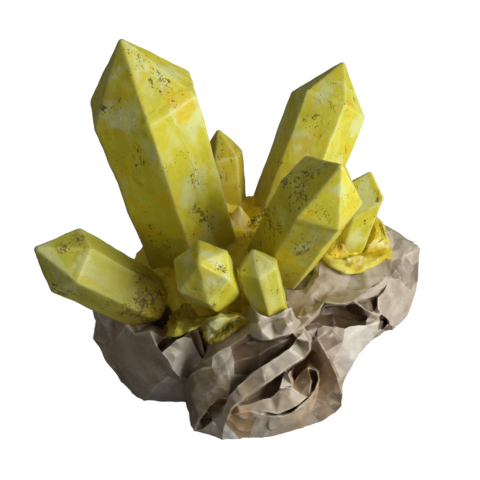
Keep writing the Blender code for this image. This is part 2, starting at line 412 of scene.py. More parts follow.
# Dabs of paint: where each is, in pixels of the camera's frame, its radius in
# millimetres and its strength
SPECK_DABS = {
    "crystal_tall_left": ((147, 67, 7, 1.0), (158, 82, 8, 1.0), (166, 86, 4, 0.8), (130, 46, 5, 0.5),
                          (101, 108, 6, 0.7), (96, 98, 5, 0.6), (140, 158, 8, 0.6), (142, 184, 6, 0.7),
                          (195, 177, 9, 1.0), (194, 210, 8, 1.0), (206, 222, 9, 0.9),
                          (152, 228, 8, 0.8), (162, 246, 12, 0.9), (166, 170, 6, 0.5),
                          (120, 110, 8, 0.4), (178, 152, 6, 0.4)),
    "crystal_tall_right": ((326, 82, 6, 0.6), (316, 124, 8, 0.9), (326, 134, 6, 0.8), (335, 108, 4, 0.9),
                           (345, 150, 6, 0.6), (283, 132, 5, 0.7), (272, 182, 6, 0.9),
                           (262, 206, 9, 0.9), (290, 110, 5, 0.5)),
    "crystal_front_right": ((295, 184, 8, 1.0), (302, 196, 8, 1.0), (318, 170, 8, 1.0),
                            (304, 174, 7, 0.9), (330, 165, 6, 0.9), (286, 182, 6, 0.9),
                            (312, 206, 7, 1.0), (290, 210, 6, 0.8), (303, 243, 9, 1.0),
                            (300, 252, 7, 0.9), (322, 212, 4, 0.8), (290, 272, 8, 0.5),
                            (268, 216, 13, 1.0), (268, 235, 14, 1.0), (277, 224, 10, 0.9)),
    "crystal_left": ((62, 247, 5, 0.8), (76, 240, 5, 0.9), (82, 238, 4, 0.8), (45, 262, 4, 0.7),
                     (134, 270, 9, 1.0), (144, 278, 11, 1.0), (150, 290, 13, 1.0),
                     (156, 306, 11, 1.0), (132, 314, 10, 1.0), (118, 306, 9, 1.0),
                     (104, 298, 8, 0.9), (145, 322, 9, 1.0), (56, 286, 6, 0.9),
                     (68, 292, 7, 0.9), (80, 296, 6, 0.8)),
    "crystal_front_stub": ((222, 259, 7, 0.45), (218, 264, 5, 0.3), (229, 284, 8, 0.5),
                           (222, 294, 7, 0.5), (212, 249, 4, 0.6), (229, 272, 7, 0.3),
                           (214, 304, 7, 0.5)),
    "crystal_small_front": ((256, 262, 4, 0.6), (273, 290, 5, 0.8), (278, 300, 5, 0.7),
                            (264, 272, 4, 0.5), (246, 268, 4, 0.6), (270, 262, 4, 0.5)),
    "crystal_small_right": ((358, 184, 4, 0.8), (369, 222, 5, 1.0), (365, 233, 5, 1.0),
                            (356, 178, 4, 0.7)),
    "crystal_small_rear": ((222, 142, 4, 0.6), (236, 150, 5, 0.7), (226, 176, 6, 0.6),
                           (238, 186, 6, 0.7), (214, 150, 4, 0.5)),
}
# Some pale dabs are painted light, on the facets near the tall left crystal's tip; the rest are pale paint
PALE_DABS = {
    "crystal_tall_left": ((190, 190, 12, 0.25), (148, 105, 12, 0.2), (170, 140, 14, 0.22),
                          (180, 110, 7, 0.15), (120, 122, 8, 0.15), (118, 76, 12, 0.1),
                          (160, 75, 20, 0.1)),
    "crystal_tall_right": ((322, 96, 12, 0.2), (300, 140, 12, 0.2), (352, 125, 6, 0.2)),
    "crystal_front_right": ((318, 232, 12, 0.25), (332, 190, 7, 0.2)),
    "crystal_left": ((60, 262, 9, 0.15), (92, 282, 14, 0.2), (84, 256, 8, 0.2)),
    "crystal_front_stub": ((212, 258, 9, 0.3), (214, 280, 10, 0.3)),
    "crystal_small_front": ((258, 270, 9, 0.25), (272, 298, 10, 0.25)),
    "crystal_small_right": ((368, 200, 12, 0.35), (360, 240, 8, 0.3)),
}
# Some warm dabs are painted shade, warming the shaded left facets of the tall crystals and the front right
# one; the rest are orange paint
WARM_DABS = {
    "crystal_tall_left": ((180, 100, 9, 0.25), (186, 112, 7, 0.35), (165, 200, 14, 0.2),
                          (142, 225, 16, 0.2), (188, 235, 14, 0.25), (126, 92, 9, 0.15), (104, 96, 16, 0.15),
                          (128, 170, 22, 0.12)),
    "crystal_tall_right": ((304, 145, 9, 0.2), (318, 140, 9, 0.15), (350, 105, 6, 0.3),
                           (346, 150, 7, 0.3), (278, 172, 20, 0.15)),
    "crystal_front_right": ((350, 200, 8, 0.2), (288, 262, 14, 0.3), (308, 212, 9, 0.2),
                            (274, 228, 22, 0.3)),
    "crystal_left": ((128, 278, 14, 0.2), (150, 308, 12, 0.2)),
    "crystal_front_stub": ((222, 308, 8, 0.3), (206, 300, 9, 0.25)),
    "crystal_small_rear": ((226, 190, 14, 0.3),),
}
MERGED = 0.01 * MM                # corners nearer than this are one corner
CORNER_ANGLE = radians(14)        # facets that meet at less than this are one facet
EDGE_ROUNDING = 1.3 * MM
CRYSTAL_GRAIN = 3.2 * MM          # longest side of a mesh face
PAPER_BUILD_UP = 0.7 * MM         # the layers of paper glued over the card
FOOT_ROUNDING = {"crystal_left": 28, "crystal_front_stub": 48}  # millimetres of the shaft
FOOT_LEAST = 0.55                 # the rounded foot's width, as a share of the shaft's
SHARPEST_ARC = radians(19)        # bends sharper than this are edges of the card
SPECKS_MOST = {"crystal_left": 1.18, "crystal_front_right": 1.15}
# How far each crystal's paint is turned dull olive: partly its own paint, partly painted shade
DULL_PAINT_AND_SHADE = {"crystal_left": 0.6, "crystal_tall_right": 0.12, "crystal_small_front": 0.35,
            "crystal_front_right": 0.08, "crystal_small_rear": 0.2}
# how brown all of a crystal is painted: on the small rear crystal this is painted shade
FOOT_BROWN_AND_SHADE = {"crystal_small_rear": 0.9}
# Size and depth of each unevenness of the paper, in millimetres
SWAYS = ((38, 0.7), (14, 0.28))
DENT_SIZE, DENT_DEPTH = 22, 0.5
DIMPLE_SIZE, DIMPLE_DEPTH = 6, 0.16
CRUMPLE_SIZE, CRUMPLE_DEPTH = 8, 0.18
CORNER_CRUMPLE = 0.6 * MM         # how much deeper the paper is crumpled beside the edges
CORNER_REACH = 6                  # how far that reaches from an edge, in millimetres
RIDGE_REACH = 1.3                 # how far the paint is worn pale beside an edge
SEAM_REACH = 6                    # how far the strip glued round the shoulder reaches
SPECKS_ALL_OVER = 0.42            # how dense the specks are away from the dabs
FOOT_REACH, FOOT_FADE = 0.22, 0.30      # shares of the shaft that are browned, partly as painted shade at the foot, and that fade
Dab = namedtuple("Dab", "place radius strength")


def dabs_on(surface, given):
    """Dabs given in the camera's frame, laid on a surface."""
    hits = [(surface.ray_cast(EYE, sight(across, down))[0], radius * MM, strength)
            for across, down, radius, strength in given]
    return [Dab(*hit) for hit in hits if hit[0]]


def dab_strength(point, laid):
    """How much of the dabs reaches a point."""
    return sum(dab.strength * exp(-((point - dab.place).length / dab.radius) ** 2) for dab in laid)


def crystal_frame(bm):
    """The place and directions of a crystal: z along its shaft and x to a corner of its foot."""
    base = max(bm.faces, key=lambda face: len(face.verts))
    tip = max(bm.verts, key=lambda vert: len(vert.link_faces))
    foot = sum((vert.co for vert in base.verts), Vector()) / len(base.verts)
    shoulders = [vert.co for vert in bm.verts if vert not in base.verts[:] and vert is not tip]
    shoulder = sum(shoulders, Vector()) / len(shoulders)
    axis = (shoulder - foot).normalized()
    corner = base.verts[0].co - foot
    across = (corner - axis * corner.dot(axis)).normalized()
    return foot, Matrix((across, axis.cross(across), axis)), (shoulder - foot).length


def segment_distance(points, start, end):
    """How far each point lies from a straight edge."""
    along = end - start
    share = numpy.clip(((points - start) @ along) / (along @ along), 0, 1)
    return numpy.linalg.norm(points - start - share[:, None] * along, axis=1)


def round_foot(bm, foot, turned, reach):
    """Draw a crystal in towards its foot, over the given length, as the end of a sausage is."""
    places = [turned @ (vert.co - foot) for vert in bm.verts]
    sides = [place.xy.length for place in places if reach < place.z < 2 * reach]
    flat = min(sides)
    for vert, place in zip(bm.verts, places):
        if place.z < reach:
            share = (1 - (1 - max(0, place.z) / reach) ** 2.2) ** 0.45
            out = place.xy.length
            allowed = min(out, flat + (out - flat) * share) * (FOOT_LEAST + (1 - FOOT_LEAST) * share)
            place.xy = place.xy * (allowed / max(out, 1e-6))
            vert.co = foot + turned.transposed() @ place


def crystal_shift(vert, seed, gap):
    """How far the unevenness of the paper moves a vertex that is a gap from the nearest edge."""
    (far, far_depth), (near, near_depth) = SWAYS
    sway = (wander(vert.co, far, seed) * far_depth * MM
            + wander(vert.co, near, seed + 5) * near_depth * MM)
    dent = DENT_DEPTH * MM * soft_noise(vert.co, DENT_SIZE, (0, seed, 0))
    dimple = DIMPLE_DEPTH * MM * soft_noise(vert.co, DIMPLE_SIZE)
    crumple_depth = CRUMPLE_DEPTH * MM + CORNER_CRUMPLE * exp(-(gap / CORNER_REACH) ** 2)
    crumpled = crumple_depth * facet_noise(vert.co / (CRUMPLE_SIZE * MM), seed)
    return sway + vert.normal * (dent + dimple + crumpled)


def paper_crystal(node, paint):
    """A crystal of folded card with rounded edges, slight dents, seams and dabs of paint."""
    bm = faceted_copy(node)
    put_in_order(bm)
    foot, turned, shaft = crystal_frame(bm)
    bm.normal_update()
    swollen = [vert.co + vert.normal * vert.calc_shell_factor() * PAPER_BUILD_UP for vert in bm.verts]
    for vert, place in zip(bm.verts, swollen):
        vert.co = place
    root = max(bm.faces, key=lambda face: len(face.verts))
    visible_edges = [edge for edge in bm.edges if root not in edge.link_faces
                     and edge.calc_face_angle() > SHARPEST_ARC]
    edges = [tuple(numpy.array(vert.co) for vert in edge.verts) for edge in visible_edges]
    rings = [pair for pair, edge in zip(edges, visible_edges)
             if all(abs((turned @ (vert.co - foot)).z - shaft) < 0.2 * shaft
                    for vert in edge.verts)]
    bmesh.ops.bevel(bm, geom=visible_edges, offset=EDGE_ROUNDING, affect="EDGES", segments=3,
                    profile=0.5, material=-1, clamp_overlap=True)
    split_long_edges(bm, CRYSTAL_GRAIN)
    if node in FOOT_ROUNDING:
        round_foot(bm, foot, turned, FOOT_ROUNDING[node] * MM)
    seed = sum(map(ord, node)) % 97
    specks, pale, warm = (dabs_on(tree_of(node), given.get(node, ()))
                          for given in (SPECK_DABS, PALE_DABS, WARM_DABS))
    points = numpy.array([vert.co for vert in bm.verts])
    near_edge, near_ring = (numpy.min([segment_distance(points, *pair) for pair in pairs], axis=0) / MM
                            for pairs in (edges, rings))
    values = {key: [] for key in ("grain", "specks", "pale", "warm", "foot", "ridge", "seam", "dull")}
    bm.normal_update()
    for vert, edge_gap, ring_gap in zip(bm.verts, near_edge, near_ring):
        local = turned @ (vert.co - foot) / MM
        above = local.z * MM / shaft
        values["grain"].append(local + Vector((seed * 31, seed * 17, 0)))
        clusters = max(0, soft_noise(vert.co, 26, (seed, 0, 0)))
        density = SPECKS_ALL_OVER + 0.5 * clusters + dab_strength(vert.co, specks)
        values["specks"].append(min(SPECKS_MOST.get(node, 1.0), density))
        values["pale"].append(dab_strength(vert.co, pale))
        values["warm"].append(dab_strength(vert.co, warm))
        height = above + 0.12 * soft_noise(vert.co, 9)
        browned_and_shaded = FOOT_BROWN_AND_SHADE.get(node, 0) + 0.2 * soft_noise(vert.co, 14)
        browned_and_shaded = max(0, browned_and_shaded, 1 - (height - FOOT_REACH) / FOOT_FADE)
        values["foot"].append(min(1, browned_and_shaded))
        values["dull"].append(DULL_PAINT_AND_SHADE.get(node, 0) * min(1, max(0.3, 1.8 - above)))
        values["ridge"].append(exp(-(edge_gap / RIDGE_REACH) ** 2))
        ragged = 6.0 * soft_noise(vert.co, 8, (seed, 3, 0))
        values["seam"].append(1.0 if ring_gap + ragged < SEAM_REACH else 0.0)
    shifts = [crystal_shift(vert, seed, gap) for vert, gap in zip(bm.verts, near_edge)]
    for vert, shift in zip(bm.verts, shifts):
        vert.co += shift
    for key, kept in values.items():
        keep_values(bm, key, kept)
    return finish_piece(node.replace("crystal_", "paper_crystal_"), bm, paint, [node])


# ---------------------------------------------------------------- nest

NEST_CENTRE = Vector((10, 5, 0))
NEST_HALF = Vector((115, 100, 0))
NEST_SEGMENTS = 260
NEST_RINGS = 70
# Share of the half width and depth, and height in millimetres, from the underside to the rim
NEST_SIDE = ((0.50, 0.4), (0.66, 12), (0.80, 40), (0.87, 62), (0.90, 74))
NEST_TOP = 122
NEST_DROP = 45                    # how much lower the rim is than the top
NEST_RISE_TO_REAR = 0.10
NEST_REAR = 1.13                  # how much deeper the nest is behind its centre than in front
SKIRT_HEIGHT = 7.0                # how far the paper is drawn up round a crystal
SKIRT_REACH = 6.0
# Swells of the nest: where each is, its height and its radius, in millimetres
NEST_SWELLS = ((0, 24, 17, 7), (48, 14, 25, 12), (58, 2, 12, 10), (30, 30, 8, 12), (-52, 6, 8, 14),
               (82, -46, -45, 24), (-48, -70, -20, 12), (54, -66, -32, 16), (38, -66, -32, 15),
               (10, 66, 5, 16), (76, -2, 6, 9), (32, -84, -48, 17), (58, -78, -26, 14), (-62, -64, -34, 7))
NEST_FOLDS = ((17, 4.5), (8, 1.6))
NEST_WRINKLES = ((10, 2.0), (5, 1.0))


def nest_height(place):
    """Height of the nest's top at a place in plan, in millimetres."""
    share = sum(((place[k] - NEST_CENTRE[k]) / NEST_HALF[k]) ** 2 for k in range(2))
    height = NEST_TOP - NEST_DROP * share ** 1.75 + NEST_RISE_TO_REAR * (place.y - NEST_CENTRE.y)
    for across, deep, rise, radius in NEST_SWELLS:
        height += rise * exp(-((place.x - across) ** 2 + (place.y - deep) ** 2) / radius ** 2)
    return height


def shaft_sides():
    """For each crystal, a place on each side of its shaft and the way that the side faces."""
    found = []
    for node in sorted(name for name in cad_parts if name.startswith("crystal")):
        bm = faceted_copy(node)
        turned = crystal_frame(bm)[1]
        found.append([(face.calc_center_median(), face.normal.copy()) for face in bm.faces
                      if abs(face.normal.dot(turned[2])) < 0.3])
        bm.free()
    return found


def beside_crystals(place, shafts):
    """How far a place is outside the nearest crystal's shaft, less than 0 inside it."""
    return min(max((place - spot).dot(normal) for spot, normal in sides) for sides in shafts)


def paper_nest(paint):
    """The papier-mache nest: a dome drawn up round each crystal, crumpled, streaked and dabbed."""
    bm = bmesh.new()
    bmesh.ops.create_circle(bm, cap_ends=True, segments=NEST_SEGMENTS, radius=1.0)
    steps = [*NEST_SIDE, *(((1 - step / NEST_RINGS) * 0.93, None) for step in range(NEST_RINGS))]
    shafts = shaft_sides()
    top = []
    fresh, rim, before = bm.verts[:], bm.edges[:], 1.0
    for vert in fresh:
        deep = vert.co.y * NEST_HALF.y * (NEST_REAR if vert.co.y > 0 else 1)
        vert.co = NEST_CENTRE + Vector((vert.co.x * NEST_HALF.x, deep, 0))
    for share, height in steps:
        if before < 1:
            fresh = grow(bm, rim)
            rim = [edge for edge in bm.edges if edge.is_boundary]
        for vert in fresh:
            vert.co = NEST_CENTRE + (vert.co - NEST_CENTRE) * share / before
            top_height = nest_height(vert.co)
            vert.co.z = top_height if height is None else min(height, top_height - 3)
        if height is None:
            top += fresh
        before = share
    bmesh.ops.scale(bm, vec=(MM, MM, MM), verts=bm.verts)
    closed = bmesh.ops.edgeloop_fill(bm, edges=rim)["faces"]
    bmesh.ops.poke(bm, faces=closed)
    for vert in top:
        beside = beside_crystals(vert.co, shafts) / MM
        ragged = 1 + 0.7 * soft_noise(vert.co, 9)
        vert.co.z += SKIRT_HEIGHT * MM * ragged * exp(-max(0, beside) / SKIRT_REACH)
    bmesh.ops.recalc_face_normals(bm, faces=bm.faces)
    bm.normal_update()
    topmost = set(top)
    for vert in bm.verts:
        depth = fold_height(vert.co, 9, NEST_FOLDS, NEST_WRINKLES) if vert in topmost else 0
        vert.co += vert.normal * depth
    keep_paint(bm, NEST_DABS, shafts)
    return finish_piece("paper_nest", bm, paint, ["mound"])


def keep_paint(bm, dabs, shafts, speckled=0.35):
    """Store the dabs, brush strokes and painted shade of painted tissue."""
    surface = BVHTree.FromBMesh(bm)
    values = {}
    for key, given in dabs.items():
        laid = dabs_on(surface, given)
        values[key] = [dab_strength(vert.co, laid) for vert in bm.verts]
    beside = [max(0, beside_crystals(vert.co, shafts)) / MM for vert in bm.verts]
    values["specks"] = [speckled + value for value in values["specks"]]
    values["shade"] = [min(SHADE_MOST, value + FOOT_SHADE * exp(-gap / FOOT_SHADE_REACH))
                       for value, gap in zip(values["shade"], beside)]
    values["grain"] = [vert.co / MM for vert in bm.verts]
    for key, kept in values.items():
        keep_values(bm, key, kept)


SHADE_MOST = 0.96
FOOT_SHADE = 0.12                 # painted shade: how dark the paper is painted where it meets a crystal
FOOT_SHADE_REACH = 4              # how far that reaches, in millimetres
# The shade dabs are painted shade, in the dark gaps and shadows beside the crystals
NEST_DABS = {
    "specks": ((247, 236, 7, 0.8), (262, 215, 9, 1.0), (260, 235, 9, 1.0), (210, 300, 9, 0.5),
               (252, 222, 8, 0.8)),
    "pale": ((238, 216, 8, 0.35), (236, 224, 6, 0.3), (225, 248, 7, 0.1)),
    "brush": ((262, 236, 12, 0.22), (266, 215, 10, 0.22), (246, 236, 6, 0.16), (230, 240, 7, 0.06),
              (150, 260, 12, 0.04), (338, 246, 10, 0.18)),
    "shade": ((165, 320, 9, 1.0), (162, 328, 9, 1.0), (161, 316, 7, 1.0), (165, 310, 5, 0.8),
              (245, 310, 12, 0.1), (300, 280, 10, 0.7),
              (287, 292, 8, 0.7), (313, 268, 8, 0.6), (310, 272, 6, 0.6), (306, 279, 6, 0.75),
              (301, 286, 6, 0.75), (338, 246, 7, 0.3), (346, 254, 5, 0.3)),
    "warm": ((240, 250, 12, 0.05),),
}


# ---------------------------------------------------------------- crumpled paper

# Each sheet is given by lines of corners as the camera sees them: (pixels across, pixels down,
# millimetres that the paper stands proud of the CAD wrap). A corner that comes again has two
# numbers. The outline is closed. The other lines are creases, and spots are single places
# where a panel bulges.
LEFT_SHEET = {
    "outline": ((96, 315, 0), (95, 328, 0), (97, 343, 0), (105, 361, 0), (122, 383, 0),
                (138, 398, 0), (144, 400, 0), (165, 402, 0), (186, 404, 0), (200, 402, -8),
                (214, 384, -12), (217, 360, -16), (214, 340, -18), (205, 326, -12),
                (190, 322, -10), (175, 326, -8), (160, 324, -22), (146, 318, -24), (128, 310, -18),
                (110, 304, -5), (99, 308, -3)),
    "outer_strip": ((101, 316, -3), (103, 323, -4), (103, 335, -3), (101, 348, 0)),
    "notch_low": ((121, 322, -5), (120, 329, -6), (115, 336, -4), (110, 344, 0)),
    "notch_high": ((125, 322, 1), (124, 330, 2), (118, 338, 2), (110, 344)),
    "soft_ridge": ((135, 334, 1), (141, 352, 2), (146, 372, 3), (148, 386, 2)),
    "pale_crease": ((162, 381), (150, 391, 4), (144, 400)),
    "paper_edge": ((150, 332, 2), (157, 347, 9), (162, 353, 9), (165, 357, 10), (168, 361, 10),
                   (173, 370, 11), (181, 378, 8)),
    "small_facet": ((157, 347), (154, 360, 0), (155, 371, -1), (162, 381, 3)),
    "small_facet_right": ((168, 361), (166, 372, 3), (162, 375, 0), (162, 381)),
    "hollow": ((159, 344, -10), (164, 338, -14), (172, 335, -16), (180, 333, -18)),
    "hollow_floor": ((160, 350, -10), (167, 342, -14), (177, 337, -16)),
    "bulge_top": ((162, 353), (169, 346, 4), (177, 340, 4), (184, 337, 2), (191, 339, -2)),
    "bulge_side": ((191, 339), (195, 347, -3), (200, 356, -5), (206, 364, -7)),
    "bulge_foot": ((181, 378), (186, 379, 0), (190, 374, -1), (200, 368, -5)),
    "strip_left": ((190, 331, -10), (196, 345, -11), (202, 357, -11), (206, 364)),
    "strip_right": ((198, 331, -5), (202, 344, -6), (205, 356, -9), (208, 364, -14)),
    "dark_gap": ((203, 333, -20), (207, 345, -27), (210, 358, -28)),
    "low_panel": ((162, 381), (168, 375, -2), (176, 379, -4), (181, 382, -9), (187, 384, -9)),
}
LEFT_SPOTS = ((183, 352, 7), (182, 364, 7), (176, 356, 5), (190, 354, 2), (189, 365, 1),
              (118, 352, 2), (126, 368, 3), (140, 380, 2), (170, 390, 1), (159, 364, -4))

FRONT_SHEET = {
    "outline": ((186, 379, 4), (184, 390, 5), (185, 404, 5), (188, 414, 3), (191, 426, 1),
                (194, 431, 0), (202, 434, 0), (212, 438, 0), (222, 441, 0), (240, 440, 0),
                (249, 439, 0), (270, 437, 0), (303, 429, 0), (320, 423, 0), (336, 412, 5),
                (342, 405, 15), (343, 394, 24), (338, 378, 22), (331, 362, 17), (324, 350, 10),
                (318, 340, 4), (312, 334, -8), (304, 328, -3), (298, 319, 12), (291, 307, 30),
                (284, 310, 34), (277, 314, 36), (269, 317, 36), (262, 315, 36), (256, 311, 34),
                (251, 305, 28), (248, 314, 12), (244, 322, -2), (236, 322, -6), (222, 327, -6),
                (210, 337, -8), (207, 352, -6), (202, 362, -2), (194, 368, 2)),
    # the rounded panel at the left
    "shoulder": ((202, 362), (213, 357, 4), (212, 367, 5), (201, 369, 6), (192, 374, 6)),
    "pale_fold": ((196, 382, 6), (204, 387, 7), (212, 392, 7), (221, 395, 6)),
    "panel_right": ((229, 379, 5), (231, 387, 5), (228, 395, 5), (219, 399, 5), (211, 405, 5),
                    (204, 414, 4), (198, 421, 3), (194, 431)),
    "valley_left": ((232, 350, 3), (234, 362, 3), (234, 374, 2), (232, 384, 0), (230, 393, -2)),
    "bright_bend": ((212, 367), (219, 368, 4), (225, 363, 4), (229, 358, 3), (232, 350)),
    "bright_bend_right": ((225, 363), (228, 372, 6), (229, 379)),
    # the rim that is turned over, and its shadowed underside
    "rim_line": ((213, 357), (218, 352, 7), (231, 346, 7), (241, 340, 7), (249, 333, 8)),
    "rim_under": ((233, 350, -1), (242, 344, -4), (251, 339, -5), (262, 343, -4), (276, 341, -1),
                  (292, 337, -1)),
    "band_crease": ((216, 345, 0), (226, 339, 1), (238, 330, 1), (248, 323, 2)),
    "pale_panel": ((249, 333), (254, 337, 11), (262, 340, 13), (271, 339, 15), (282, 335, 14),
                   (292, 332, 10)),
    "pale_panel_top": ((250, 325, 16), (258, 323, 30), (272, 322, 35), (284, 318, 32), (294, 322, 17)),
    "pale_panel_fold": ((284, 318), (287, 325, 25), (292, 332)),
    "pale_panel_edge": ((250, 325), (249, 333)),
    # the valley behind the strap
    "valley_ridge": ((292, 337), (282, 342, 0), (268, 349, -1), (258, 356, -3)),
    "valley_floor": ((297, 340, -6), (287, 349, -5), (274, 357, -4), (260, 366, -4),
                     (247, 375, -5), (237, 385, -6), (230, 393)),
    # the strap that crosses the front
    "strap_top": ((303, 333, 9), (297, 339, 10), (290, 349, 11), (280, 356, 11), (268, 364, 11),
                  (262, 368, 11), (250, 376, 11), (240, 385, 11), (232, 393, 10), (227, 400, 10),
                  (223, 407, 9), (222, 414, 7)),
    "strap_low": ((303, 333), (309, 342, 9), (309, 351, 9), (303, 358, 10), (294, 363, 11),
                  (285, 369, 11), (276, 375, 11), (265, 383, 12), (255, 390, 12), (245, 397, 12),
                  (236, 404, 12), (231, 409, 11), (228, 417, 9), (225, 424, 7)),
    "strap_crease": ((262, 368), (264, 376, 14), (265, 383)),
    # behind the strap's lower edge
    "under_strap": ((311, 352, -24), (305, 360, -30), (296, 365, -34), (287, 371, -26),
                    (278, 377, -20), (267, 385, -16), (257, 392, -11), (247, 399, -5), (239, 404, 0),
                    (233, 411, 4)),
    "cavity_floor": ((250, 399, -8), (262, 397, -13), (271, 395, -15), (279, 388, -16), (281, 378, -20)),
    "fin": ((284, 370, 6), (288, 374, 3), (292, 385, 3), (280, 388, 7), (284, 370)),
    "hole": ((294, 378, -30), (301, 369, -33), (309, 356, -30), (315, 347, -24), (316, 341, -16)),
    "olive_panel": ((294, 382, -10), (302, 372, -15), (308, 368, -3), (311, 381, 5), (309, 396, 6),
                    (301, 393, 2), (294, 387, -3), (294, 382)),
    "slot": ((312, 377, -18), (315, 373, -18), (316, 381, -18), (313, 388, -12)),
    "slot_rim": ((317, 371, 3), (319, 380, 5), (315, 389, 6), (310, 394, 6)),
    # the tongue and the lower rim
    "tongue_top": ((236, 406, 6), (250, 403, 4), (262, 400, 3), (271, 398, 3), (280, 391, 4),
                   (291, 387, 6), (300, 393, 7), (308, 397, 7)),
    "tongue_low": ((308, 397), (299, 403, 10), (289, 409, 10), (277, 413, 10), (264, 411, 8),
                   (252, 408, 6), (236, 406)),
    "tongue_fold": ((262, 400), (264, 411)),
    "gap_under_tongue": ((303, 403, 0), (292, 410, -2), (278, 415, -2), (266, 413, 1)),
    "lower_rim": ((230, 416, 8), (239, 413, 9), (250, 412, 8), (262, 415, 9), (272, 416, 10),
                  (283, 416, 11), (293, 412, 12), (301, 405, 12), (309, 398, 10), (315, 390, 9),
                  (319, 380)),
    # the skirt below it
    "skirt_orange": ((225, 424), (234, 433, 3), (240, 440)),
    "skirt_triangle": ((225, 424), (223, 433, 2), (222, 441)),
    "skirt_orange_right": ((257, 418, 9), (252, 428, 5), (249, 439)),
    "skirt_grey": ((257, 418), (270, 417, 10), (281, 419, 10), (286, 425, 6), (303, 429)),
    "skirt_warm": ((311, 398, 9), (311, 412, 6), (303, 429)),
    "skirt_dimple": ((267, 424, 5), (271, 433, 2)),
    "outer_fold": ((320, 353, -6), (320, 370, -7), (319, 388, -4), (317, 400, 0), (311, 412)),
    "outer_crease": ((328, 396, 9), (340, 404, 14)),
    # small hollows at the lower left
    "low_hollow": ((209, 409, -10), (201, 420, -10), (203, 428, -6), (212, 419, -11), (209, 409)),
    "low_fold": ((203, 429, 3), (212, 422, 5), (217, 427, 3), (222, 441)),
    "low_left": ((207, 410, 2), (213, 420, 2), (219, 404, -11), (226, 401, -12)),
}
FRONT_SPOTS = ((192, 396, 10), (196, 408, 8), (205, 378, 8), (218, 378, 9), (205, 398, 9),
               (224, 385, 6), (262, 331, 25), (275, 331, 30), (244, 424, 7), (268, 426, 8),
               (300, 415, 11), (330, 380, 11), (333, 392, 14), (327, 404, 9), (280, 402, 9),
               (290, 397, 9), (314, 400, -1), (326, 368, 5))

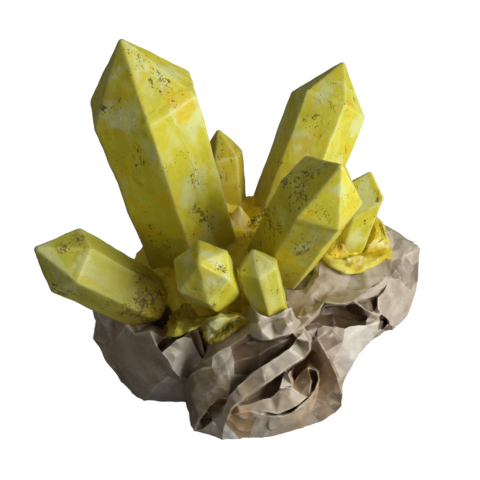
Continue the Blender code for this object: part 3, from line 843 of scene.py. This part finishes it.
RIGHT_SHEET = {
    "outline": ((342, 402, 0), (343, 388, 0), (348, 374, 0), (354, 364, 0), (360, 354, 0),
                (370, 342, 0), (373, 337, 0), (381, 331, 0), (393, 327, 0), (402, 321, 0),
                (410, 312, 0), (414, 301, 0), (418, 281, 0), (420, 262, 0), (421, 249, 0),
                (419, 245, 0), (410, 241, 0), (401, 235, 0), (391, 229, 0), (385, 225, 0),
                (378, 228, -4), (372, 240, -6), (360, 256, -6), (340, 258, -6), (325, 254, -6),
                (308, 262, -6), (296, 274, -6), (284, 290, -5), (276, 303, -6), (279, 315, -3),
                (288, 334, -2), (300, 342, -8), (318, 352, -14), (322, 372, -12), (326, 392, -8)),
    # the pale panel that hangs at the right of the front bundle
    "front_edge": ((318, 338, -2), (325, 352, 1), (332, 366, 2), (338, 379, 2), (343, 392, 1)),
    "panel_fold": ((345, 329, 6), (343, 341, 6), (336, 354, 5), (333, 362, 4), (340, 378, 3)),
    "panel_top": ((345, 329), (349, 327, 6), (357, 326, 7), (366, 326, 6)),
    "grey_facet": ((343, 348, 6), (350, 349, 6), (358, 344, 4), (371, 337, 2)),
    "brown_facet": ((318, 338), (318, 329, -5), (324, 326, -3), (345, 329)),
    "brown_fold": ((318, 338), (324, 333, 1), (331, 329, 1)),
    # the cavity under the cover
    "cavity_low": ((318, 324, -8), (330, 325, -10), (345, 325, -10), (358, 324, -9), (366, 323, -6),
                   (369, 317, -8)),
    "cavity_back": ((323, 309, -26), (332, 307, -25), (340, 308, -24), (350, 312, -22),
                    (360, 315, -18), (369, 317)),
    "cavity_shelf": ((320, 316, -28), (335, 314, -28), (350, 319, -24), (362, 321, -18)),
    "hinge": ((356, 303, -2), (364, 309, 5), (371, 313, 7), (378, 316, 6), (379, 322, 5),
              (377, 330, 3), (373, 337)),
    "hinge_face": ((371, 313), (366, 323), (366, 326), (372, 332, 3), (373, 337)),
    "pocket": ((363, 302, -7), (370, 299, -8), (376, 298, -6), (376, 306, -7), (374, 311, -4)),
    "dark_hole": ((380, 319, -16), (386, 321, -14), (381, 329, -8)),
    # the cover that lies over it
    "cover_edge": ((318, 300, 7), (325, 302, 10), (335, 304, 12), (345, 304, 13), (353, 301, 12),
                   (361, 295, 10), (370, 289, 8), (381, 282, 5), (388, 277, 3)),
    "cover_under": ((324, 305, -22), (335, 306, -24), (346, 306, -22), (356, 303)),
    "cover_left": ((320, 266, -2), (319, 274, 2), (320, 286, 4), (319, 293, 4), (318, 300)),
    "cover_dent": ((320, 286), (328, 292, 5), (338, 291, 7), (343, 298, 9), (345, 304)),
    "cover_fold": ((326, 272, 0), (338, 280, 3), (349, 281, 2), (356, 285, 3)),
    "cover_bend": ((349, 281), (345, 290, 6), (343, 298)),
    "cover_dimple": ((346, 274, -2), (350, 277, -2), (358, 282, 0)),
    "lilac_top": ((370, 289), (377, 283, 4), (386, 277, 4)),
    "dark_strip_top": ((358, 299, 2), (366, 293, 2), (376, 290, 3), (384, 288, 3)),
    "dark_strip_low": ((358, 301, -4), (368, 298, -5), (377, 296, -3), (384, 290, 1)),
    # the lobe at the right
    "lobe_near": ((378, 298, 6), (378, 308, 7), (381, 314, 7), (387, 318, 6), (389, 324, 3)),
    "lobe_edge": ((378, 298), (384, 291, 6), (388, 283, 5), (391, 276, 4), (392, 262, 2)),
    "lobe_top": ((385, 262, 0), (392, 262), (398, 259, 2), (405, 256, 2), (412, 252, 2), (421, 249)),
    "lobe_dark": ((392, 278, 5), (399, 279, 5), (404, 284, 4), (410, 290, 3), (414, 284, 3),
                  (418, 281)),
    "lobe_dark_fold": ((403, 262, 2), (407, 268, 3), (404, 276, 4), (409, 288, 3)),
    "lobe_curve": ((391, 284, 6), (392, 297, 7), (397, 306, 6), (404, 311, 3)),
    "lobe_crease": ((410, 290), (408, 298, 4), (410, 306, 2)),
    "top_fold": ((385, 232, 0), (392, 231, 3), (398, 237, 3), (394, 246, 2), (390, 252, 1)),
    # the folds at the left of the cover
    "left_pale": ((305, 294, 3), (304, 304, 5), (307, 315, 6), (310, 318, 6)),
    "left_edge": ((305, 294), (312, 296, 5), (320, 300, 7), (324, 302, 8), (318, 310, 8),
                  (309, 319, 8), (300, 327, 7), (292, 334, 6)),
    "left_inner": ((312, 296), (317, 304, 3), (311, 312, 4)),
    "left_beige": ((286, 302, 1), (293, 310, 3), (297, 317, 4), (302, 318, 4)),
    "left_lilac": ((280, 318, 2), (290, 317, 3), (302, 318), (310, 318)),
    "left_lilac_fold": ((302, 318), (298, 325, 5), (291, 330, 5)),
    "left_under": ((325, 305, -14), (319, 314, -14), (312, 321, -12), (304, 328, -9), (297, 335, -6)),
    "left_facet": ((312, 321), (318, 327, -6), (316, 336, -6), (310, 346, -8)),
    "left_facet_low": ((308, 332, -3), (310, 346)),
}
RIGHT_SPOTS = ((350, 360, 6), (355, 338, 6), (398, 295, 9), (388, 300, 9), (403, 270, 5),
               (398, 268, 4), (412, 265, 4), (396, 315, 5), (333, 284, 6), (328, 278, 5),
               (366, 275, 3), (340, 296, 8), (404, 244, 5), (398, 250, 4), (292, 322, 5),
               (310, 304, 6), (353, 292, 6))
# Painted light and shade on each panel between creases, partly the paper's own paler and browner
# tone: a pixel on the panel, how far the panel reaches from it in pixels, the strength (more than 0
# paler, painted as if lit; less than 0 browner, painted as if shaded), and how tan the paper is
LEFT_TONE_AND_SHADING = ((120, 355, 60, -0.1, 0.1), (183, 355, 22, 0.3), (170, 340, 14, -1.0),
              (182, 334, 9, -1.0), (205, 345, 14, -1.0), (150, 345, 10, -0.2), (170, 392, 26, 0.6),
              (158, 358, 10, -0.3), (140, 388, 16, 0.3))
FRONT_TONE_AND_SHADING = ((200, 395, 30, -0.4, 0.2), (218, 362, 9, 0.3), (225, 368, 9, 0.4),
               (222, 385, 12, -0.1, 0.2), (255, 346, 26, -0.7, 0.4), (280, 345, 24, -0.8, 0.4),
               (246, 360, 18, -0.9, 0.4), (270, 362, 40, -1.0, 0.3), (290, 355, 30, 0.35),
               (245, 392, 28, 0.05, 0.3), (229, 408, 14, 0.3), (268, 388, 30, -0.65, 0.2),
               (286, 380, 9, 0.6), (298, 368, 14, -1.0), (310, 358, 14, -0.9, 0.3),
               (303, 385, 14, -0.4, 0.3), (314, 379, 9, -0.9), (250, 405, 18, 0.15, 0.15),
               (285, 400, 28, 0.1, 0.15), (240, 424, 18, 0.12, 0.8), (228, 433, 12, 0.9),
               (268, 425, 22, 0.15), (300, 413, 26, -0.2, 0.3), (330, 385, 40, 0.25, 0.65),
               (333, 405, 16, -0.55, 0.3), (205, 420, 12, -0.8), (213, 428, 10, 0.3),
               (225, 335, 20, -0.2, 0.2), (270, 328, 30, 0.22), (318, 395, 10, 0.1, 0.3))
RIGHT_TONE_AND_SHADING = ((355, 352, 26, 0.5), (338, 360, 16, 0.4), (352, 337, 14, 0.45),
               (326, 332, 12, -0.6, 0.2), (340, 314, 24, -1.0), (340, 322, 26, -0.9), (330, 318, 14, -1.0),
               (350, 318, 12, -0.9), (345, 310, 16, -1.0),
               (368, 302, 10, -0.8), (383, 322, 8, -0.9), (372, 320, 10, 0.2), (335, 285, 26, 0.15),
               (335, 297, 16, -0.05, 0.2), (396, 300, 24, 0.25), (408, 300, 14, 0.1),
               (406, 275, 16, -0.55), (398, 255, 22, 0.1), (310, 308, 14, 0.15),
               (296, 308, 14, -0.15, 0.3), (290, 325, 18, 0.25), (318, 318, 12, -0.8),
               (316, 332, 14, -0.8))
# Where the paper is warmer brown: pixels across and down, radius in millimetres, strength
KRAFT_WARM = ((330, 400, 14, 0.25), (300, 422, 10, 0.2),
              (334, 385, 9, 0.25), (326, 365, 9, 0.2), (275, 350, 14, 0.2), (250, 365, 14, 0.2),
              (365, 278, 8, 0.2), (170, 340, 6, 0.35), (315, 360, 9, 0.25), (336, 340, 7, 0.2),
              (365, 300, 9, 0.15), (222, 412, 7, 0.2), (248, 385, 10, 0.15))

PAPER_GRAIN = 2.0 * MM            # longest side of a mesh face on the paper in front
LINING_GRAIN = 3.2 * MM           # and on the paper behind and beneath it
PAPER_THICKNESS = 0.35 * MM
TABLE = 0.4 * MM                  # how far the paper's lowest edge stays above the table
TUCK = 15 * MM                    # how much paper is folded away behind an edge
TUCK_INWARDS = 3                  # how far inwards each step of it goes, in millimetres
TUCK_FREE = 0.25                  # how far off the wrap beneath it stays, as a share
SOFTENING = 3                     # how often the panels between creases are smoothed
KRAFT_FOLDS = ((28, 2.0), (13, 0.4))    # size and depth of the small folds
KRAFT_WRINKLES = ((17, 2.1), (8, 0.55))
LEAST_BEND, WEAR_AND_HIGHLIGHT_BEND = 0.045, 0.15     # slopes at which a crease begins to be painted pale, as worn paper and painted highlight, and more
HALF_CELL = Vector((0.5, 0.5, 0.5))
BEND_SIZE, BEND_DEPTH = 34, 9     # how the random folds themselves are bent, in millimetres
WRINKLE_RISE = 0.25               # what a wrinkle rises to, as a share of its depth
HOLLOW_SHADE_MOST, HOLLOW_SHADE_DEPTH = 0.35, 30    # painted shade: how much warmer brown hollows are painted, and how deep they need to be
AT_TABLE = 6 * MM                 # edges lower than this are folded under
BACK_ROWS = 7                     # rows of facets round the back of the wrap
BACK_STEP = 9                     # degrees between their corners
BACK_PROUD = (-4, 5)              # how far the corners are moved outwards, in millimetres
RAGGED = 1.3                      # how uneven the back's rim is, in rows
SHAKEN = 0.36                     # how far the corners inside it are moved, in rows
SHELF_STEPS = 4                   # strips that turn in from the rim to the nest
SHELF_STEP = (7, 11)              # how wide each is, in millimetres
SHELF_DROP = 3                    # how much further down each may go than the one before
LOW_RIM = 8 * MM                  # a rim lower than this is turned in at the table
RAYS = 60                         # how many heights the wrap is felt for, from the side
RAY_RISE = 2                      # how far apart they are, in millimetres
RAY_START = 400                   # how far out they begin
CLOSE_LINING = (-9, -4)
LOW_LINING = (-20, -14)
DEEP_LINING = (-40, -34)
WRAP_LEAST = 84 * MM              # the wrap is nowhere nearer than this to the nest's centre
SHARP_FOLD = radians(12)


def on_wrap(surface, across, down, proud):
    """The place that the camera sees at a pixel: on the CAD wrap, or beside it, moved to the eye."""
    direction = sight(across, down)
    hit = surface.ray_cast(EYE, direction)[0]
    if hit is None:
        steps = [EYE + direction * (CAMERA_DISTANCE + step * 3 * MM) for step in range(-60, 60)]
        hit = min(steps, key=lambda place: surface.find_nearest(place)[3])
    place = hit - direction * proud * MM
    place.z = max(place.z, TABLE)
    return place


def creased_mesh(lines, spots, place_corner, tone_and_shading=()):
    """A mesh of flat facets between creases, with the creases marked sharp and panels given painted light
    and shade.
    """
    lifts = {}
    for line in (*lines.values(), spots):
        for corner in line:
            if len(corner) == 3:
                lifts.setdefault(corner[:2], corner[2])
    flat = list(lifts)
    order = {corner: index for index, corner in enumerate(flat)}
    creases = [(order[first[:2]], order[second[:2]])
               for name, line in lines.items() if name != "outline"
               for first, second in zip(line, line[1:])]
    edge_line = [order[corner[:2]] for corner in lines["outline"]]
    found, links, faces, from_corner, from_crease, _ = delaunay_2d_cdt(
        [Vector(corner) for corner in flat], creases, [edge_line], 1, 0.01)

    def proud(index):
        if from_corner[index]:
            return lifts[flat[from_corner[index][0]]]
        near = sorted(flat, key=lambda corner: (found[index] - Vector(corner)).length)[:3]
        return sum(lifts[corner] for corner in near) / 3

    bm = bmesh.new()
    hollow = bm.verts.layers.float.new("hollow")
    made = [bm.verts.new(place_corner(spot.x, spot.y, proud(index)))
            for index, spot in enumerate(found)]
    for index, vert in enumerate(made):
        # painted shade: the deeper a corner lies, the warmer brown it is painted
        vert[hollow] = min(HOLLOW_SHADE_MOST, max(0, -proud(index) / HOLLOW_SHADE_DEPTH))
    for face in faces:
        bm.faces.new([made[index] for index in face])
    for link, sources in zip(links, from_crease):
        edge = bm.edges.get((made[link[0]], made[link[1]]))
        if edge and any(source < len(creases) for source in sources):
            edge.smooth = False
    kinds = [bm.faces.layers.float.new(name) for name in ("tone", "tan")]
    flat_place = dict(zip(bm.verts, found))
    for across, down, reach, *given in tone_and_shading:
        spot = Vector((across, down))
        waiting = [face for face in bm.faces
                   if intersect_point_tri_2d(spot, *(flat_place[vert] for vert in face.verts))]
        done = set()
        while waiting:
            face = waiting.pop()
            middle = sum((flat_place[vert] for vert in face.verts), Vector((0, 0))) / 3
            if face in done or done and (middle - spot).length > reach:
                continue
            done.add(face)
            for kind, value in zip(kinds, given):
                face[kind] = value
            waiting += [other for edge in face.edges if edge.smooth for other in edge.link_faces]
    bmesh.ops.delete(bm, geom=[vert for vert in bm.verts if not vert.link_faces], context="VERTS")
    put_in_order(bm)
    return bm


def facing(bm, towards):
    """Turn all the faces the way that most of them face."""
    bm.normal_update()
    if sum(face.normal.dot(towards(face.calc_center_median())) * face.calc_area()
           for face in bm.faces) < 0:
        bmesh.ops.reverse_faces(bm, faces=bm.faces)


def crumple(bm, seed, folds, wrinkles):
    """Soften the panels between creases, and add the small folds that handling leaves."""
    bmesh.ops.triangulate(bm, faces=bm.faces)
    held = {vert for edge in bm.edges if not edge.smooth or edge.is_boundary for vert in edge.verts}
    free = [vert for vert in bm.verts if vert not in held]
    for _ in range(SOFTENING):
        bmesh.ops.smooth_vert(bm, verts=free, factor=0.5, use_axis_x=True, use_axis_y=True,
                              use_axis_z=True)
    bm.normal_update()
    for vert in bm.verts:
        vert.co += vert.normal * fold_height(vert.co, seed, folds, wrinkles)
        vert.co.z = max(TABLE, vert.co.z)


def facet_noise(place, seed):
    """A random height, from -0.5 to 0.5, that is flat between sharp creases."""
    base = Vector([value // 1 for value in place])
    part = place - base
    weights = [1 - max(part)]
    corner = base + Vector((seed, 0, 0))
    height = weights[0] * noise.cell(corner + HALF_CELL)
    axes = sorted(range(3), key=lambda axis: -part[axis])
    for step, axis in enumerate(axes):
        corner[axis] += 1
        following = part[axes[step + 1]] if step < 2 else 0
        height += (part[axis] - following) * noise.cell(corner + HALF_CELL)
    return height / 2


def fold_height(place, seed, folds, wrinkles):
    """Height in metres of random folds between flat facets, and of wrinkles with curved sides.

    Each set is given by its size and depth in millimetres.
    """
    shifted = place + wander(place, BEND_SIZE, seed) * BEND_DEPTH * MM
    height = 0
    for size, depth in folds:
        turned = Matrix.Rotation(size, 3, (1, 2, 3)) @ (shifted / (size * MM))
        height += depth * facet_noise(turned, seed + size)
    for size, depth in wrinkles:
        sloped = soft_noise(shifted, size, (seed * 5.1, size, 0))
        height += depth * (WRINKLE_RISE - abs(sloped))
    return height * MM


def mark_creases(bm):
    """Pale ridges, partly worn paper and partly painted highlight: how sharply the paper bends outwards at
    each vertex.
    """
    bm.normal_update()
    values = []
    for vert in bm.verts:
        around = [edge.other_vert(vert).co for edge in vert.link_edges]
        middle = sum(around, Vector()) / len(around)
        reach = sum((vert.co - other).length for other in around) / len(around)
        bend = (vert.co - middle).dot(vert.normal) / max(reach, 0.1 * MM)
        values.append(min(1, max(0, (bend - LEAST_BEND) / WEAR_AND_HIGHLIGHT_BEND)))
    keep_values(bm, "crease", values)


def tuck_edges(bm, surface, steps=2):
    """Fold the paper away behind its edges: under at the table, and round the CAD wrap above."""
    middle = NEST_CENTRE * MM
    for _ in range(steps):
        for vert in grow(bm, [edge for edge in bm.edges if edge.is_boundary]):
            inwards = (middle - vert.co) * Vector((1, 1, 0))
            inwards.normalize()
            if vert.co.z < AT_TABLE:
                vert.co += inwards * TUCK / steps
                vert.co.z = TABLE
                continue
            moved = vert.co - BACK * TUCK / steps + inwards * TUCK_INWARDS * MM
            nearest, normal = surface.find_nearest(moved)[:2]
            vert.co = nearest.lerp(moved, TUCK_FREE) - normal * MM
            vert.co.z = max(TABLE, vert.co.z)
    bmesh.ops.triangulate(bm, faces=bm.faces)


def seen_sheet(lines, spots, tone_and_shading=()):
    """The facets of a sheet that is given as the camera sees it, with its edges folded away."""
    bm = creased_mesh(lines, spots,
                      lambda across, down, proud: on_wrap(WRAP, across, down, proud), tone_and_shading)
    facing(bm, lambda spot: EYE - spot)
    tuck_edges(bm, WRAP)
    split_long_edges(bm, PAPER_GRAIN)
    return bm


def wrap_round(start, end, seed, depth=BACK_PROUD, top=100):
    """Random facets of paper round the wrap, from one angle to another, in degrees.

    Its corners are moved outwards by the depth in millimetres, and it reaches up to a
    percentage of the wrap's height.
    """
    random = Random(seed)
    rows, columns = BACK_ROWS, max(3, round((end - start) / BACK_STEP))

    def rays(turn):
        out = Vector((cos(radians(turn)), sin(radians(turn)), 0))
        for step in range(RAYS):
            eye = NEST_CENTRE * MM + out * RAY_START * MM + Vector((0, 0, step * RAY_RISE * MM + TABLE))
            hit = WHOLE_WRAP.ray_cast(eye, -out)[0]
            if hit and (hit - NEST_CENTRE * MM).dot(out) > WRAP_LEAST:
                yield hit, out

    def place(turn, share, proud):
        reached = list(rays(turn)) or list(rays(turn - 3)) or list(rays(turn + 3))
        spot, out = reached[min(len(reached) - 1, round(share * (len(reached) - 1)))]
        return spot + out * proud * MM

    corners = {}
    for column in range(columns + 1):
        for row in range(rows + 1):
            inside = 0 < column < columns and 0 < row < rows
            moved, shift = (random.uniform(-SHAKEN, SHAKEN) if inside else 0 for _ in range(2))
            turn = start + (end - start) * (column + moved) / columns
            shift = random.uniform(-RAGGED, 0) if row == rows else shift
            proud = min(-1, depth[0]) if row == 0 else random.uniform(*depth)
            corners[column, row] = (turn, (row + shift) / rows * top, proud)
    rim = ([corners[column, 0] for column in range(columns)]
           + [corners[columns, row] for row in range(rows)]
           + [corners[column, rows] for column in range(columns, 0, -1)]
           + [corners[0, row] for row in range(rows, 0, -1)])
    spots = [corner for (column, row), corner in corners.items()
             if 0 < column < columns and 0 < row < rows]
    bm = creased_mesh({"outline": rim}, spots,
                      lambda turn, share, proud: place(turn, share / 100, proud))
    facing(bm, lambda spot: spot - NEST_CENTRE * MM)
    for edge in bm.edges:
        if len(edge.link_faces) == 2 and edge.calc_face_angle() > SHARP_FOLD:
            edge.smooth = False
    for step in range(SHELF_STEPS):
        for vert in grow(bm, [edge for edge in bm.edges if edge.is_boundary]):
            inwards = (NEST_CENTRE * MM - vert.co) * Vector((1, 1, 0))
            low = vert.co.z < LOW_RIM
            vert.co += inwards.normalized() * random.uniform(*SHELF_STEP) * MM
            vert.co.z = TABLE if low else vert.co.z - random.uniform(0, SHELF_DROP * (1 + step)) * MM
    bmesh.ops.triangulate(bm, faces=bm.faces)
    split_long_edges(bm, LINING_GRAIN)
    return bm


def joined(*parts):
    """Several meshes in one."""
    whole = bmesh.new()
    for part in parts:
        mesh = bpy.data.meshes.new("joined")
        part.to_mesh(mesh)
        part.free()
        whole.from_mesh(mesh)
        bpy.data.meshes.remove(mesh)
    return whole


def kraft_sheet(name, parts, nodes, seed):
    """A crumpled sheet of kraft paper in place of a CAD lump."""
    bm = joined(*parts)
    crumple(bm, seed, KRAFT_FOLDS, KRAFT_WRINKLES)
    mark_creases(bm)
    laid = [Dab(on_wrap(WRAP, across, down, 0), radius * MM, strength)
            for across, down, radius, strength in KRAFT_WARM]
    hollow = bm.verts.layers.float["hollow"]
    # the listed warm patches, plus painted shade in the hollows
    keep_values(bm, "warm", [dab_strength(vert.co, laid) + vert[hollow] for vert in bm.verts])
    return thickened(finish_piece(name, bm, KRAFT, nodes))


def tissue_sheet(name, lines, spots, nodes, seed, paint, dabs):
    """A crumpled sheet of painted tissue in place of a CAD lump."""
    bm = seen_sheet(lines, spots)
    crumple(bm, seed, TISSUE_FOLDS, TISSUE_WRINKLES)
    keep_paint(bm, dabs, shaft_sides(), 0.2)
    return thickened(finish_piece(name, bm, paint, nodes))


def thickened(piece):
    """Give a sheet the thickness of paper."""
    thickness = piece.modifiers.new("thickness", "SOLIDIFY")
    thickness.thickness = PAPER_THICKNESS
    thickness.offset = -1
    return piece


TISSUE_FRONT = {
    "outline": ((170, 300, -5), (180, 292, -6), (195, 296, -6), (206, 304, -6), (216, 309, -6),
                (227, 306, -6), (238, 304, -6), (251, 304, -6), (254, 314, -4), (252, 323, 2),
                (246, 326, 3), (241, 328, 3), (236, 332, 4), (230, 336, 5), (223, 340, 6),
                (218, 343, 6), (214, 346, 5), (209, 344, 5), (205, 340, 5), (203, 333, 5),
                (201, 327, 3), (196, 328, 4), (190, 331, 5), (185, 333, 6), (180, 336, 6),
                (171, 337, 4), (167, 336, 1), (168, 328, -3), (169, 314, -6)),
    "flap_ridge": ((203, 322, 6), (206, 319, 8), (212, 317, 9), (219, 314, 11), (226, 311, 12),
                   (232, 313, 12), (238, 316, 11), (244, 319, 10), (250, 322, 5)),
    "flap_behind": ((205, 315, -3), (213, 313, -3), (221, 309, -3), (229, 307, -3), (238, 309, -3),
                    (246, 313, -3)),
    "highlight": ((208, 324, 9), (215, 320, 11), (224, 317, 12), (231, 318, 12), (224, 324, 11),
                  (219, 331, 8), (213, 329, 9), (208, 324)),
    "dark_line": ((216, 334, 3), (222, 331, 1), (228, 325, 0), (235, 321, 2), (244, 323, 4)),
    "flap_low": ((213, 340, 7), (221, 337, 7), (229, 332, 7), (235, 326, 6), (241, 324, 5)),
    "flap_side": ((203, 322), (208, 330, 7), (209, 340, 6)),
    "left_fold": ((182, 300, -1), (179, 314, 3), (176, 330, 6)),
    "left_groove": ((187, 302, -2), (187, 316, 1), (183, 331, 3)),
    "left_ridge": ((196, 306, 0), (193, 318, 5), (190, 329, 6)),
}
TISSUE_FRONT_SPOTS = ((174, 320, 3), (200, 316, 2))
# The shade dabs are painted shade; the pale dabs on the flap are partly a painted highlight
TISSUE_FRONT_DABS = {
    "specks": ((180, 306, 9, 0.6), (186, 318, 8, 0.6), (176, 322, 7, 0.6), (190, 300, 8, 0.5),
               (208, 328, 6, 0.6)),
    "pale": ((217, 324, 6, 0.4), (212, 327, 5, 0.3), (207, 334, 6, 0.12),
             (226, 316, 6, 0.35), (218, 319, 5, 0.3), (233, 316, 5, 0.25)),
    "brush": ((180, 312, 12, 0.16), (225, 330, 9, 0.2), (212, 337, 8, 0.15)),
    "shade": ((200, 308, 12, 0.1), (165, 330, 9, 0.9), (245, 308, 12, 0.3),
              (230, 326, 5, 0.4), (224, 337, 9, 0.3), (213, 337, 6, 0.2)),
    "warm": ((180, 315, 20, 0.05),),
}
TISSUE_RIGHT = {
    "outline": ((312, 262, -6), (322, 244, -6), (334, 228, -6), (345, 214, -5), (356, 206, -4),
                (367, 206, -4), (374, 213, 0), (380, 219, 2), (385, 226, 3), (387, 235, 4),
                (390, 243, 4), (392, 250, 4), (393, 259, 4), (386, 259, 5), (380, 263, 6),
                (372, 268, 7), (364, 271, 8), (355, 274, 9), (346, 274, 9), (337, 270, 8),
                (329, 264, 7), (321, 257, 4), (316, 258, 0)),
    "roll": ((321, 253, 6), (329, 259, 9), (338, 264, 11), (348, 268, 12), (358, 269, 12),
             (367, 266, 11), (376, 260, 10), (384, 255, 8), (391, 252, 6)),
    "roll_groove": ((324, 250, 2), (333, 257, 4), (343, 261, 5), (348, 264, 8)),
    "inner_lip": ((327, 243, 2), (335, 249, 5), (346, 251, 5), (358, 251, 5), (368, 248, 6),
                  (377, 244, 8), (386, 238, 6)),
    "hollow": ((334, 240, -1), (340, 247, -1), (352, 255, 0), (364, 254, 0), (374, 252, 2),
               (382, 248, 4)),
    "leaf": ((347, 259, 8), (355, 256, 9), (363, 257, 10), (368, 263, 11)),
    "right_ridge": ((372, 220, 4), (376, 230, 8), (374, 240, 9), (368, 248)),
    "right_groove": ((378, 221, 1), (381, 231, 3), (380, 241, 4)),
    "right_lip": ((382, 223, 5), (385, 232, 7), (386, 238), (388, 246, 6), (390, 255, 5)),
    "left_ridge": ((338, 232, 1), (345, 238, 2), (346, 251)),
}
TISSUE_RIGHT_SPOTS = ((356, 262, 10), (372, 256, 6), (380, 256, 7), (330, 254, 5))
TISSUE_RIGHT_DABS = {
    "specks": ((344, 262, 5, 0.5), (336, 246, 6, 0.7), (366, 244, 5, 0.5)),
    "pale": ((372, 242, 6, 0.2), (357, 261, 8, 0.2), (384, 246, 6, 0.2), (374, 264, 6, 0.2),
             (383, 226, 4, 0.2), (330, 262, 5, 0.15)),
    "brush": ((336, 245, 8, 0.2), (352, 254, 9, 0.08)),
    "shade": ((336, 242, 6, 0.35), (318, 262, 8, 0.4), (350, 244, 12, 0.15)),
    "warm": ((375, 228, 9, 0.35), (372, 252, 9, 0.25), (340, 250, 9, 0.05), (358, 253, 9, 0.15)),
}
TISSUE_FOLDS = ((11, 1.4), (5.5, 0.8))
TISSUE_WRINKLES = ((9, 1.7), (5, 1.0))
WRAP = tree_of("kraft_left", "kraft_front", "kraft_right", "mound", "tissue_front", "tissue_right")
WHOLE_WRAP = tree_of("kraft_left", "kraft_front", "kraft_right", "kraft_rear")

LEMON = crystal_paint()
OCHRE = tissue_paint("ochre_paint", linear(230, 198, 14), linear(242, 224, 60),
                     linear(222, 204, 140), linear(100, 74, 12))
YELLOW_TISSUE = tissue_paint("yellow_tissue", linear(192, 168, 22), linear(212, 202, 92),
                             linear(226, 218, 150), linear(110, 84, 14))
OLIVE_TISSUE = tissue_paint("olive_tissue", linear(162, 140, 26), linear(202, 192, 78),
                            linear(216, 220, 160), linear(74, 56, 14))
KRAFT = kraft_paper()
paper_nest(OCHRE)
for crystal in sorted(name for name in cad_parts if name.startswith("crystal")):
    paper_crystal(crystal, LEMON)
tissue_sheet("tissue_sheet_front", TISSUE_FRONT, TISSUE_FRONT_SPOTS, ["tissue_front"], 4,
             OLIVE_TISSUE, TISSUE_FRONT_DABS)
tissue_sheet("tissue_sheet_right", TISSUE_RIGHT, TISSUE_RIGHT_SPOTS, ["tissue_right"], 5,
             YELLOW_TISSUE, TISSUE_RIGHT_DABS)
kraft_sheet("kraft_sheet_left", [seen_sheet(LEFT_SHEET, LEFT_SPOTS, LEFT_TONE_AND_SHADING),
                                 wrap_round(140, 204, 11),
                                 wrap_round(200, 226, 21, CLOSE_LINING),
                                 wrap_round(222, 242, 24, DEEP_LINING)], ["kraft_left"], 1)
kraft_sheet("kraft_sheet_front", [seen_sheet(FRONT_SHEET, FRONT_SPOTS, FRONT_TONE_AND_SHADING),
                                  wrap_round(236, 326, 22, DEEP_LINING)], ["kraft_front"], 2)
kraft_sheet("kraft_sheet_right", [seen_sheet(RIGHT_SHEET, RIGHT_SPOTS, RIGHT_TONE_AND_SHADING),
                                  wrap_round(-2, 50, 12, (-8, 0)),
                                  wrap_round(-30, 2, 23, LOW_LINING),
                                  wrap_round(-52, -26, 25, LOW_LINING, 55),
                                  wrap_round(-50, -26, 26, DEEP_LINING)], ["kraft_right"], 3)
kraft_sheet("kraft_sheet_rear", [wrap_round(38, 152, 13)], ["kraft_rear"], 6)


# ---------------------------------------------------------------- stage

SKY_COLOUR = (1.0, 0.96, 0.9, 1)
WORLD_LIGHT = 0.19
FLOOR_SIZE = 6                    # metres
FLOOR_GLOW = 0.99                 # how brightly the floor itself is seen
FLOOR_BOUNCE = (0.30, 0.29, 0.28, 1)    # its colour for the light that it sends back
FLOOR_SEEN = (0.12, 0.12, 0.12, 1)
LAMPS = {
    # name: direction from the cluster, distance, size across, power
    "window": ((0.87, -0.44, 0.33), 1.5, 1.25, 27),
}


def stage():
    """A pale floor, soft daylight from the right and the camera."""
    bm = bmesh.new()
    bmesh.ops.create_grid(bm, x_segments=1, y_segments=1, size=FLOOR_SIZE)
    mesh = bpy.data.meshes.new("floor")
    bm.to_mesh(mesh)
    bm.free()
    material, tree, shader = new_material("floor", 0.9, 0.1)
    seen = add(tree, "ShaderNodeLightPath").outputs["Is Camera Ray"]
    colour = blend_colours(tree, seen, FLOOR_BOUNCE, FLOOR_SEEN)
    tree.links.new(colour, shader.inputs["Base Color"])
    shader.inputs["Emission Color"].default_value = (1, 1, 1, 1)
    tree.links.new(maths(tree, "MULTIPLY", seen, FLOOR_GLOW), shader.inputs["Emission Strength"])
    mesh.materials.append(material)
    floor = bpy.data.objects.new("floor", mesh)
    bpy.context.scene.collection.objects.link(floor)
    world = bpy.data.worlds.new("daylight")
    world.use_nodes = True
    sky = world.node_tree.nodes["Background"]
    seen = add(world.node_tree, "ShaderNodeLightPath").outputs["Is Camera Ray"]
    warm_sky = blend_colours(world.node_tree, seen, SKY_COLOUR, (1, 1, 1, 1))
    world.node_tree.links.new(warm_sky, sky.inputs["Color"])
    strength = ramp(world.node_tree, seen, 0, 1, WORLD_LIGHT, 1.0)
    world.node_tree.links.new(strength, sky.inputs["Strength"])
    bpy.context.scene.world = world
    for name, (direction, distance, size, power) in LAMPS.items():
        data = bpy.data.lights.new(name, "AREA")
        data.shape = "DISK"
        data.size = size
        data.energy = power
        lamp = bpy.data.objects.new(name, data)
        lamp.location = AIM + Vector(direction).normalized() * distance
        lamp.rotation_euler = Vector(direction).to_track_quat("Z", "Y").to_euler()
        bpy.context.scene.collection.objects.link(lamp)
    data = bpy.data.cameras.new("camera")
    data.lens = LENS
    data.sensor_width = SENSOR
    camera = bpy.data.objects.new("camera", data)
    camera.location = EYE
    camera.rotation_euler = BACK.to_track_quat("Z", "Y").to_euler()
    bpy.context.scene.collection.objects.link(camera)
    bpy.context.scene.camera = camera
    bpy.context.scene.view_settings.view_transform = "Standard"


stage()
